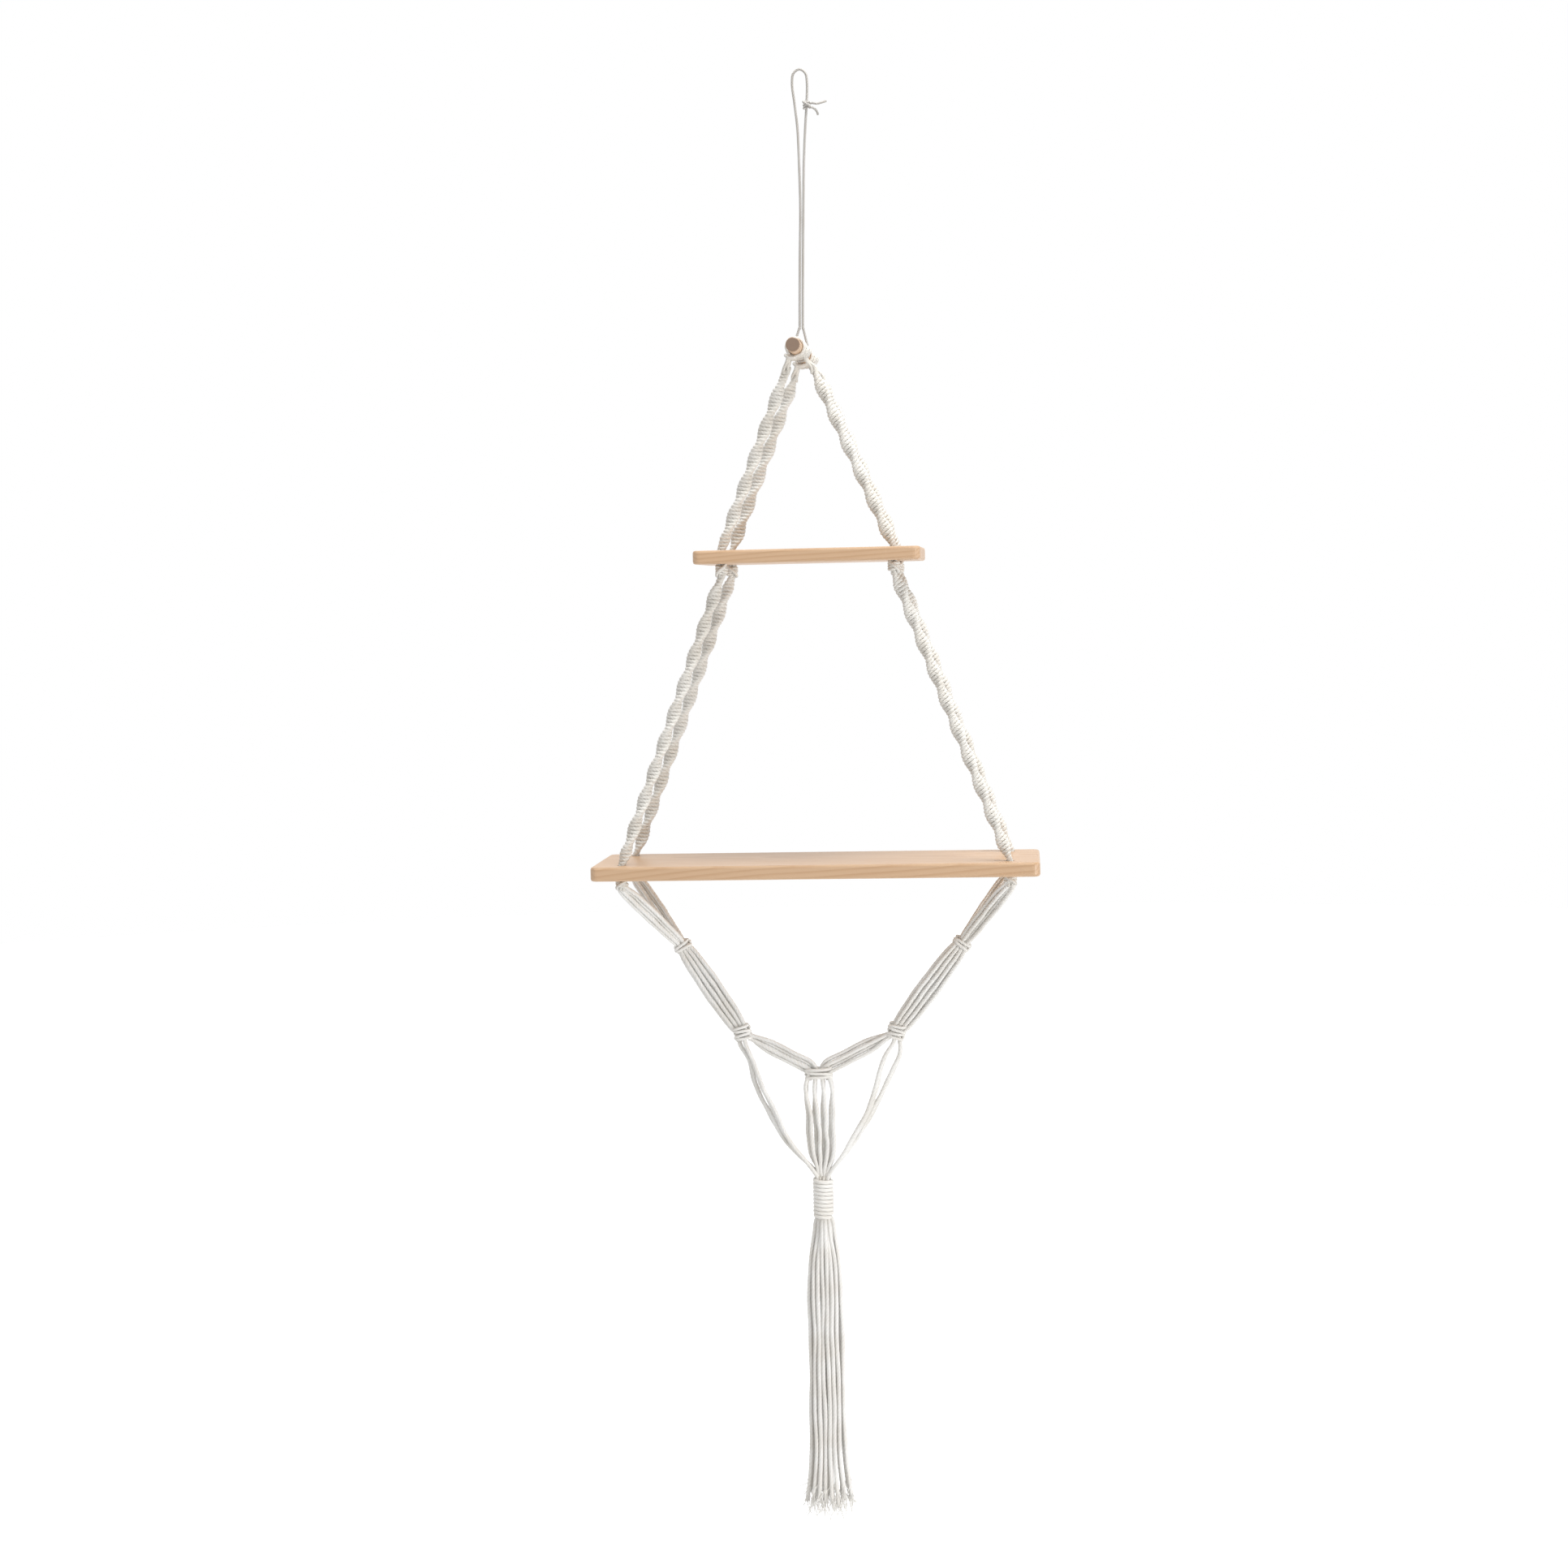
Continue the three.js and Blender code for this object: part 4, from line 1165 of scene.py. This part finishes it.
# The ways of the inner and the outer side strands to the neck, in shares across and down.
INNER_SHARES = {
    "left": [(0.13, 0.14), (0.26, 0.34), (0.46, 0.57), (0.69, 0.79)],
    "right": [(0.16, 0.105), (0.235, 0.21), (0.28, 0.335), (0.415, 0.52), (0.71, 0.78)],
}
OUTER_SHARES = {
    "left": [(0.09, 0.14), (0.2, 0.34), (0.41, 0.57), (0.65, 0.79)],
    "right": [(-0.035, 0.1), (0.17, 0.31), (0.385, 0.52), (0.69, 0.78)],
}
# The ends of the side strands inside the neck: millimetres inward, share of the close pitch, millimetres up.
INTO_NECK = ((0.6, 0.85, 2), (5.2, 0.75, -6), (6, 0.7, -13))


def make_side_strands(cords):
    """Four slack cords on each side, which bow from the fork down to the side of the neck."""
    step = cords.cord_lay / LAY_STEPS
    rng = np.random.default_rng(SEEDS["side_strand"])
    cord, close = cords.cord_diameter, cords.close_pitch
    neck = centre_of("neck_core")
    neck_top = top_of("neck_core")
    for side in SIDES:
        fork = side_places(side)[1]
        sign = SIGN[side]
        start = at_height(fork, bottom_of(f"{side}_fork_knot"))
        end = np.array([neck[0] + sign * cords.pitch * 2.5, 0, neck_top])
        for index, (_, deep) in enumerate(COLUMN_LAYOUT):
            shares = INNER_SHARES[side] if index < 2 else OUTER_SHARES[side]
            outward = sign if index >= 2 else -sign
            aside = outward * (0.75 if index in (0, 3) else 0.25) * cord
            leave = outward * cord * 0.9
            points = [
                fork + np.array([leave * 0.4, deep * close * 0.7, -cord]),
                start + np.array([leave, deep * close * 0.8, -cord * 0.5]),
            ]
            for across, drop in shares:
                x = start[0] + (end[0] - start[0]) * across + aside * math.sin(math.pi * drop)
                points.append(np.array([x, deep * cords.pitch * 0.8, start[2] + (end[2] - start[2]) * drop]))
            for inward, tight, rise in INTO_NECK:
                points.append(end + np.array([-sign * inward * MM, deep * close * tight, rise * MM]))
            route = loosened(smooth_route(points, step), "side_strand", rng)
            piece = loose_cords(f"{side}_side_strand_{index + 1}", [route], cords, [index * 1.3])
            nodes = [f"{side}_side_strands"] if index == 0 else []
            settle(piece, "lower_net", "cord", *nodes)


def make_centre_knot(cords):
    """The square knot in which the two inner bands meet."""
    at = centre_of("centre_knot") + UP * 1 * MM
    square_knot(cords, "centre_knot", "lower_net", at, DOWN, CENTRE_KNOT, thick=1)


def make_centre_strands(cords):
    """Eight cords from the centre knot to the neck, four in front and four behind."""
    rng = np.random.default_rng(SEEDS["centre_strand"])
    cord, pitch = cords.cord_diameter, cords.pitch
    centre = centre_of("centre_knot")
    neck = centre_of("neck_core")
    top = np.array([centre[0], 0, bottom_of("centre_knot")])
    end = np.array([neck[0], 0, top_of("neck_core")])
    spread = 9.2 * MM
    stations = [
        (centre, DOWN, DOUBLE_LAYOUT, pitch * 1.7),
        (top + DOWN * cord, DOWN, DOUBLE_LAYOUT, pitch * 2.3),
        (top * 0.6 + end * 0.4, DOWN, STAGGERED_LAYOUT, spread * 0.95),
        (top * 0.2 + end * 0.8, DOWN, STAGGERED_LAYOUT, spread * 0.8),
        (end + UP * cord, DOWN, DOUBLE_LAYOUT, pitch),
        (end + DOWN * cord * 2, DOWN, DOUBLE_LAYOUT, cords.close_pitch),
    ]
    for index, route in enumerate(group_routes(stations, cords.cord_lay / LAY_STEPS)):
        route = loosened(route, "centre_strand", rng)
        piece = loose_cords(f"centre_strand_{index + 1}", [route], cords, [index * 0.9])
        nodes = ["centre_strands"] if index == 0 else []
        settle(piece, "lower_net", "cord", *nodes)


# The binding of the neck: its turns, the points for each, and its gaps, collar and inner radius.
WRAP_TURNS = 10
WRAP_STEPS = 20
TURN_GAP = 0.5 * MM
TOUCH_GAP = 0.3 * MM
COLLAR_HEIGHT = 4 * MM
NECK_RADIUS = 7.5 * MM
# Rings of the bunch: number of cords in the outer and in the inner one.
OUTER_BUNCH, INNER_BUNCH = 9, 4
# Thickness and lay of the binding cord, as shares of the others'.
WRAP_THICK = 1.22
WRAP_LAY = 2


def make_neck(cords):
    """The bunch of cords inside the neck, and the cord that binds them in ten close turns."""
    cord = cords.cord_diameter
    middle = centre_of("neck_core")
    top, bottom = top_of("neck_core"), bottom_of("neck_core")
    step = cords.cord_lay / LAY_STEPS
    bunch = []
    for count, radius in ((OUTER_BUNCH, NECK_RADIUS - cord / 2), (INNER_BUNCH, NECK_RADIUS / 3)):
        for i in range(count):
            angle = 2 * math.pi * i / count
            x, y = math.cos(angle) * radius, math.sin(angle) * radius
            ends = [(middle[0] + x, y, top - cord), (middle[0] + x, y, bottom)]
            bunch.append(evenly(np.array(ends), step))
    core = cord_piece("neck_bunch", bunch, cord, cords.cord_lay, cord_material(cords))
    settle(core, "lower_net", "cord", "neck_core")
    radius = NECK_RADIUS + TOUCH_GAP + cord / 2
    start = top - COLLAR_HEIGHT - TOUCH_GAP - cord / 2
    points = []
    for i in range(WRAP_TURNS * WRAP_STEPS + 1):
        turn = i / WRAP_STEPS
        angle = turn * 2 * math.pi
        pull = 1 - 0.3 * max(0, 1 - min(turn, WRAP_TURNS - turn) * 6)
        x, y = math.cos(angle) * radius * pull, math.sin(angle) * radius * pull
        points.append((middle[0] + x, y, start - (cord + TURN_GAP) * turn))
    lay = cords.cord_lay * WRAP_LAY
    wrap = cord_piece("neck_binding", [np.array(points)], cord * WRAP_THICK, lay, loose_lit_material(cords))
    settle(wrap, "lower_net", "cord", "neck_wrap")


# Tassel

# Places of the eight pairs at the neck, across in cords and front to back in pitches.
PAIR_LAYOUT = [(0, -1.5), (-0.5, -0.5), (0.5, -0.5), (-1, 0.5), (0, 0.5), (1, 0.5), (-0.5, 1.5), (0.5, 1.5)]
# Shares of its length down a tassel cord, and of its place in the waist there. The last one is its end.
OPENING_SHARES = [(0.13, 0.93), (0.5, 1.04), (0.84, 1.12), (1, 1)]
# Each cord's own length, in shares of TASSEL_UNEVEN, and its place across and front to back at its end.
END_SHARES = [
    (0.2, -0.14, -0.75), (-0.4, 0.14, -0.85), (0.6, -0.68, -0.6), (0.1, -0.41, -0.75),
    (0.9, 0.41, -0.8), (-0.2, 0.68, -0.6), (0.5, -0.97, -0.1), (-0.9, -0.84, 0.4),
    (0.3, -0.1, 0.3), (0.7, 0.12, 0.2), (-0.6, 0.82, 0.4), (0, 0.96, -0.15),
    (0.8, -0.56, 0.75), (-0.1, -0.28, 0.9), (0.4, 0.3, 0.85), (1, 0.55, 0.7),
]
TASSEL_DEPTH = 0.6
TASSEL_LENGTH = 316 * MM
TASSEL_UNEVEN = 7 * MM
TASSEL_WAIST = 18.6 * MM
TASSEL_FLARE = 27 * MM
# The start of a tassel cord in the neck: share of its own place there, and millimetres up.
OUT_OF_NECK = ((0.62, 3), (0.8, -0.5), (1, -6))


def tassel_route(cords, index, middle, root_top, rng):
    """One cord of the tassel: straight out of the neck, wider by and by, down to its own place and length."""
    pair, which = divmod(index, 2)
    across, deep = PAIR_LAYOUT[pair]
    late, end_across, end_deep = END_SHARES[index]
    spot = np.array([across * 2 * cords.pitch + (which - 0.5) * cords.close_pitch, deep * cords.pitch, 0])
    total = TASSEL_LENGTH + late * TASSEL_UNEVEN
    start = np.array([middle[0], 0, middle[2] - TOUCH_GAP])
    narrow = np.array([end_across, end_deep * TASSEL_DEPTH, 0]) * TASSEL_WAIST
    wide = np.array([end_across, end_deep * TASSEL_DEPTH, 0]) * TASSEL_FLARE
    neck = np.array([middle[0], 0, root_top])
    points = [neck + spot * apart + UP * rise * MM for apart, rise in OUT_OF_NECK]
    points.append(start + spot * 1.12 + DOWN * cords.cord_diameter)
    for down, opening in OPENING_SHARES:
        target = wide if down == 1 else narrow * opening
        points.append(start + target + DOWN * total * down)
    return loosened(smooth_route(points, cords.cord_lay / LAY_STEPS), "tassel", rng)


# Threads of a frayed end, the points of the route back from which they leave, and their length.
FRAY_THREADS = 18
FRAY_BACK = (2, 14)
FRAY_REACH = (12, 30)
FRAY_SPREAD = 0.2
THREAD_DIAMETER = 1.3 * MM


def frayed_end(route, rng, cord):
    """The cord's cut end, opened into soft threads that leave it over its last stretch."""
    threads = []
    for _ in range(FRAY_THREADS):
        back = rng.integers(*FRAY_BACK)
        along = unit(route[-back] - route[-back - 2])
        out = unit(along + rng.normal(0, FRAY_SPREAD, 3))
        reach = rng.uniform(*FRAY_REACH) * MM
        root = route[-back] - along * 2 * MM + rng.normal(0, cord * 0.22, 3)
        bend = rng.normal(0, FRAY_SPREAD, 3) * reach
        middle = root + out * reach * 0.7 + bend * 0.4
        points = [root, root + out * reach * 0.35, middle, root + out * reach + bend]
        threads.append(smooth_route(points, reach / 7))
    return threads


def make_tassel(cords):
    """Sixteen hanging cords with frayed ends."""
    rng = np.random.default_rng(SEEDS["tassel"])
    lowest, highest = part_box("tassel_root")
    middle = np.array([(lowest.x + highest.x) / 2, 0, lowest.z])
    bend_start = (middle[0], 0, highest.z)
    bend_end = (middle[0], 0, lowest.z - 8 * MM)
    threads, made = [], []
    for index in range(2 * len(PAIR_LAYOUT)):
        route = tassel_route(cords, index, middle, highest.z, rng)
        piece = loose_cords(f"tassel_cord_{index + 1}", [route], cords, [index * 0.8])
        nodes = [] if index % 2 else [f"tassel_pair_{index // 2 + 1}"]
        if index == 0:
            nodes.append("tassel_root")
        settle_between(piece, ("lower_net", "tassel"), bend_start, bend_end, "cord", *nodes)
        threads += frayed_end(route, rng, cords.cord_diameter)
        made.append((piece, route))
    shells = [thread_shell(thread, THREAD_DIAMETER) for thread in threads]
    fringe = mesh_piece("tassel_frayed_ends", shells, loose_lit_material(cords))
    settle(fringe, "tassel", "cord")


# Stage

# Width of the camera's picture in millimetres, and how far it sees in metres.
SENSOR_WIDTH = 36
CAMERA_REACH = 40
# Each lamp's name, place, aim and width, in metres.
KEY_LAMP = ("key_lamp", (3.3, -2.3, -1.5), (0, 0, -0.9), 1.5)
TOP_LAMP = ("top_lamp", (0.5, -0.5, 1.9), (0, 0, -0.8), 1.6)
# The floor's radius and the width of its inset rim in metres, and how brightly it shows where it is seen.
FLOOR_RADIUS = 9
FLOOR_RIM = 0.5
FLOOR_GLOW = 0.62
WHITE = (1, 1, 1, 1)


def camera_matrix(place, turn):
    """The camera's place and turn in the world: yaw to the left, pitch up, and roll about its view."""
    yaw, pitch, roll = turn
    forward = Vector((-math.sin(yaw) * math.cos(pitch), math.cos(yaw) * math.cos(pitch), math.sin(pitch)))
    right = Vector((math.cos(yaw), math.sin(yaw), 0))
    upward = right.cross(forward)
    rolled_right = right * math.cos(roll) + upward * math.sin(roll)
    rolled_up = upward * math.cos(roll) - right * math.sin(roll)
    columns = Matrix((rolled_right, rolled_up, -forward)).transposed()
    return Matrix.Translation(place) @ columns.to_4x4()


def make_camera(stage):
    data = bpy.data.cameras.new("shelf_camera")
    data.lens = stage.camera_lens
    data.sensor_width = SENSOR_WIDTH
    data.clip_end = CAMERA_REACH
    camera = linked(bpy.data.objects.new("shelf_camera", data))
    camera.matrix_world = camera_matrix(Vector(stage.camera_place), stage.camera_turn)
    bpy.context.scene.camera = camera


def make_lamp(name, place, aim, size, power):
    data = bpy.data.lights.new(name, "AREA")
    data.shape = "DISK"
    data.size = size
    data.energy = power
    lamp = linked(bpy.data.objects.new(name, data))
    turned = (Vector(aim) - Vector(place)).to_track_quat("-Z", "Y")
    lamp.matrix_world = Matrix.Translation(place) @ turned.to_matrix().to_4x4()


def seen_ray(tree):
    """One for rays from the camera, a gloss or a clear surface, and zero for those that light things."""
    path = add_node(tree, "LightPath", "Which ray").outputs
    seen = maths(tree, "MAXIMUM", path["Is Camera Ray"], path["Is Glossy Ray"], "Seen or reflected")
    return maths(tree, "MAXIMUM", seen, path["Is Transmission Ray"], "Or seen through")


def make_surroundings(stage):
    """White surroundings for the eye, and a plain fill for the light."""
    world = bpy.data.worlds.new("white_surroundings")
    bpy.context.scene.world = world
    world.use_nodes = True
    tree = world.node_tree
    strength = add_node(tree, "Mix", "White where seen, fill elsewhere")
    for place, value in ((0, seen_ray(tree)), (2, stage.fill), (3, 1.0)):
        feed(tree, value, strength.inputs[place])
    background = next(n for n in tree.nodes if n.type == "BACKGROUND")
    give(tree, background, {"Color": WHITE, "Strength": strength.outputs[0]})


def floor_material():
    """Matt white paper that keeps the shelf's shadow and shows white elsewhere."""
    material, tree, shader = bare_material("white_floor")
    space = add_node(tree, "TexCoord", "Place on the floor")
    tooth = noise(tree, space.outputs["Object"], 300.0, 2.0, "Paper tooth")
    tone = mixed(tree, tooth, (0.84, 0.84, 0.84, 1), (0.88, 0.88, 0.88, 1), "Paper tone")
    glow = maths(tree, "MULTIPLY", seen_ray(tree), FLOOR_GLOW, "White only where seen")
    looks = {"Base Color": tone, "Roughness": 0.9, "Emission Color": WHITE, "Emission Strength": glow}
    give(tree, shader, looks)
    return material


def make_floor(stage):
    """A wide round floor with an inset rim."""
    bpy.ops.object.select_all(action="DESELECT")
    height = cad_corners[0][2] - stage.floor_drop
    at = (0, 0, height)
    bpy.ops.mesh.primitive_circle_add(vertices=96, radius=FLOOR_RADIUS, fill_type="NGON", location=at)
    floor = bpy.context.object
    floor.name = "floor"
    bpy.ops.object.mode_set(mode="EDIT")
    bpy.ops.mesh.select_all(action="SELECT")
    bpy.ops.mesh.inset(thickness=FLOOR_RIM)
    bpy.ops.object.mode_set(mode="OBJECT")
    bpy.ops.object.transform_apply(location=True, rotation=True, scale=True)
    floor.data.materials.append(floor_material())
    bpy.ops.object.select_all(action="DESELECT")


def make_stage(stage):
    make_camera(stage)
    make_surroundings(stage)
    make_floor(stage)
    make_lamp(*KEY_LAMP, stage.key_power)
    make_lamp(*TOP_LAMP, stage.top_power)
    bpy.context.scene.view_settings.view_transform = "Standard"


# Each board's material, and how far to the front or back the middle of its trunk lay.
BOARDS = (("upper_board", "pine_short_board", 21 * MM), ("lower_board", "pine_long_board", -16 * MM))


def make_boards(wood):
    for node, name, pith_shift in BOARDS:
        dress_node(node, pine_material(name, node, wood, pith_shift))


def make_dowel(wood):
    dress_node("dowel", dowel_material("dowel_wood", wood))


def dress_node(node, material):
    """Gives a CAD node its finish in the slots that it has."""
    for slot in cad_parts[node].material_slots:
        slot.material = material


# Operators and panel


class ShelfStep:
    """Runs its makers one after another, with its settings."""

    settings = "shelf_cords"

    def execute(self, context):
        for make in self.makers:
            make(getattr(context.scene, self.settings))
        return {"FINISHED"}


class SHELF_OT_stage(ShelfStep, bpy.types.Operator):
    """Set up the camera, the lamps, the white floor and the surroundings"""

    bl_idname = "shelf.stage"
    bl_label = "Stage"
    settings = "shelf_stage"
    makers = (make_stage,)


class SHELF_OT_string(ShelfStep, bpy.types.Operator):
    """Make the hanging string, its knot and its sling round the dowel"""

    bl_idname = "shelf.string"
    bl_label = "Hanging string"
    makers = (make_string, make_eye_knot, make_sling)


class SHELF_OT_tassel(ShelfStep, bpy.types.Operator):
    """Make the sixteen cords of the tassel and their frayed ends"""

    bl_idname = "shelf.tassel"
    bl_label = "Tassel"
    makers = (make_tassel,)


class SHELF_OT_side_strands(ShelfStep, bpy.types.Operator):
    """Make the slack strands on both sides of the net"""

    bl_idname = "shelf.side_strands"
    bl_label = "Side strands"
    makers = (make_side_strands,)


class SHELF_OT_centre_strands(ShelfStep, bpy.types.Operator):
    """Make the strands from the centre knot to the neck"""

    bl_idname = "shelf.centre_strands"
    bl_label = "Centre strands"
    makers = (make_centre_strands,)


class SHELF_OT_hitches(ShelfStep, bpy.types.Operator):
    """Make the hitches that hold the ropes on the dowel"""

    bl_idname = "shelf.hitches"
    bl_label = "Hitches"
    makers = (make_hitches,)


class SHELF_OT_ropes(ShelfStep, bpy.types.Operator):
    """Make the eight ropes of half knots"""

    bl_idname = "shelf.ropes"
    bl_label = "Ropes"
    makers = (make_ropes,)


class SHELF_OT_stop_knots(ShelfStep, bpy.types.Operator):
    """Make the knots under the boards and the cords in their holes"""

    bl_idname = "shelf.stop_knots"
    bl_label = "Stop knots"
    makers = (make_stop_knots,)


class SHELF_OT_net(ShelfStep, bpy.types.Operator):
    """Make the fans, bands and knots of the net under the long board"""

    bl_idname = "shelf.net"
    bl_label = "Net"
    makers = (make_fans, make_gather_knots, make_bands, make_fork_knots, make_inner_bands, make_centre_knot)


class SHELF_OT_neck(ShelfStep, bpy.types.Operator):
    """Make the bound neck over the tassel"""

    bl_idname = "shelf.neck"
    bl_label = "Neck"
    makers = (make_neck,)


class SHELF_OT_wood(ShelfStep, bpy.types.Operator):
    """Give the boards and the dowel their wood"""

    bl_idname = "shelf.wood"
    bl_label = "Wood"
    settings = "shelf_wood"
    makers = (make_boards, make_dowel)


STEPS = (
    SHELF_OT_stage,
    SHELF_OT_string,
    SHELF_OT_tassel,
    SHELF_OT_side_strands,
    SHELF_OT_centre_strands,
    SHELF_OT_hitches,
    SHELF_OT_ropes,
    SHELF_OT_stop_knots,
    SHELF_OT_net,
    SHELF_OT_neck,
    SHELF_OT_wood,
)


class SHELF_PT_panel(bpy.types.Panel):
    """Lists the steps that dress the shelf"""

    bl_idname = "SHELF_PT_panel"
    bl_label = "Rope shelf"
    bl_space_type = "VIEW_3D"
    bl_region_type = "UI"
    bl_category = "Rope shelf"

    def draw(self, context):
        for step in STEPS:
            self.layout.operator(step.bl_idname)


CLASSES = (ShelfCordSettings, ShelfWoodSettings, ShelfStageSettings, *STEPS, SHELF_PT_panel)


def register():
    for made in CLASSES:
        bpy.utils.register_class(made)
    bpy.types.Scene.shelf_cords = bpy.props.PointerProperty(type=ShelfCordSettings)
    bpy.types.Scene.shelf_wood = bpy.props.PointerProperty(type=ShelfWoodSettings)
    bpy.types.Scene.shelf_stage = bpy.props.PointerProperty(type=ShelfStageSettings)


def unregister():
    for name in ("shelf_stage", "shelf_wood", "shelf_cords"):
        delattr(bpy.types.Scene, name)
    for made in reversed(CLASSES):
        bpy.utils.unregister_class(made)


def main():
    register()
    for step in STEPS:
        group, operator = step.bl_idname.split(".")
        getattr(getattr(bpy.ops, group), operator)()


if __name__ == "__main__":
    main()
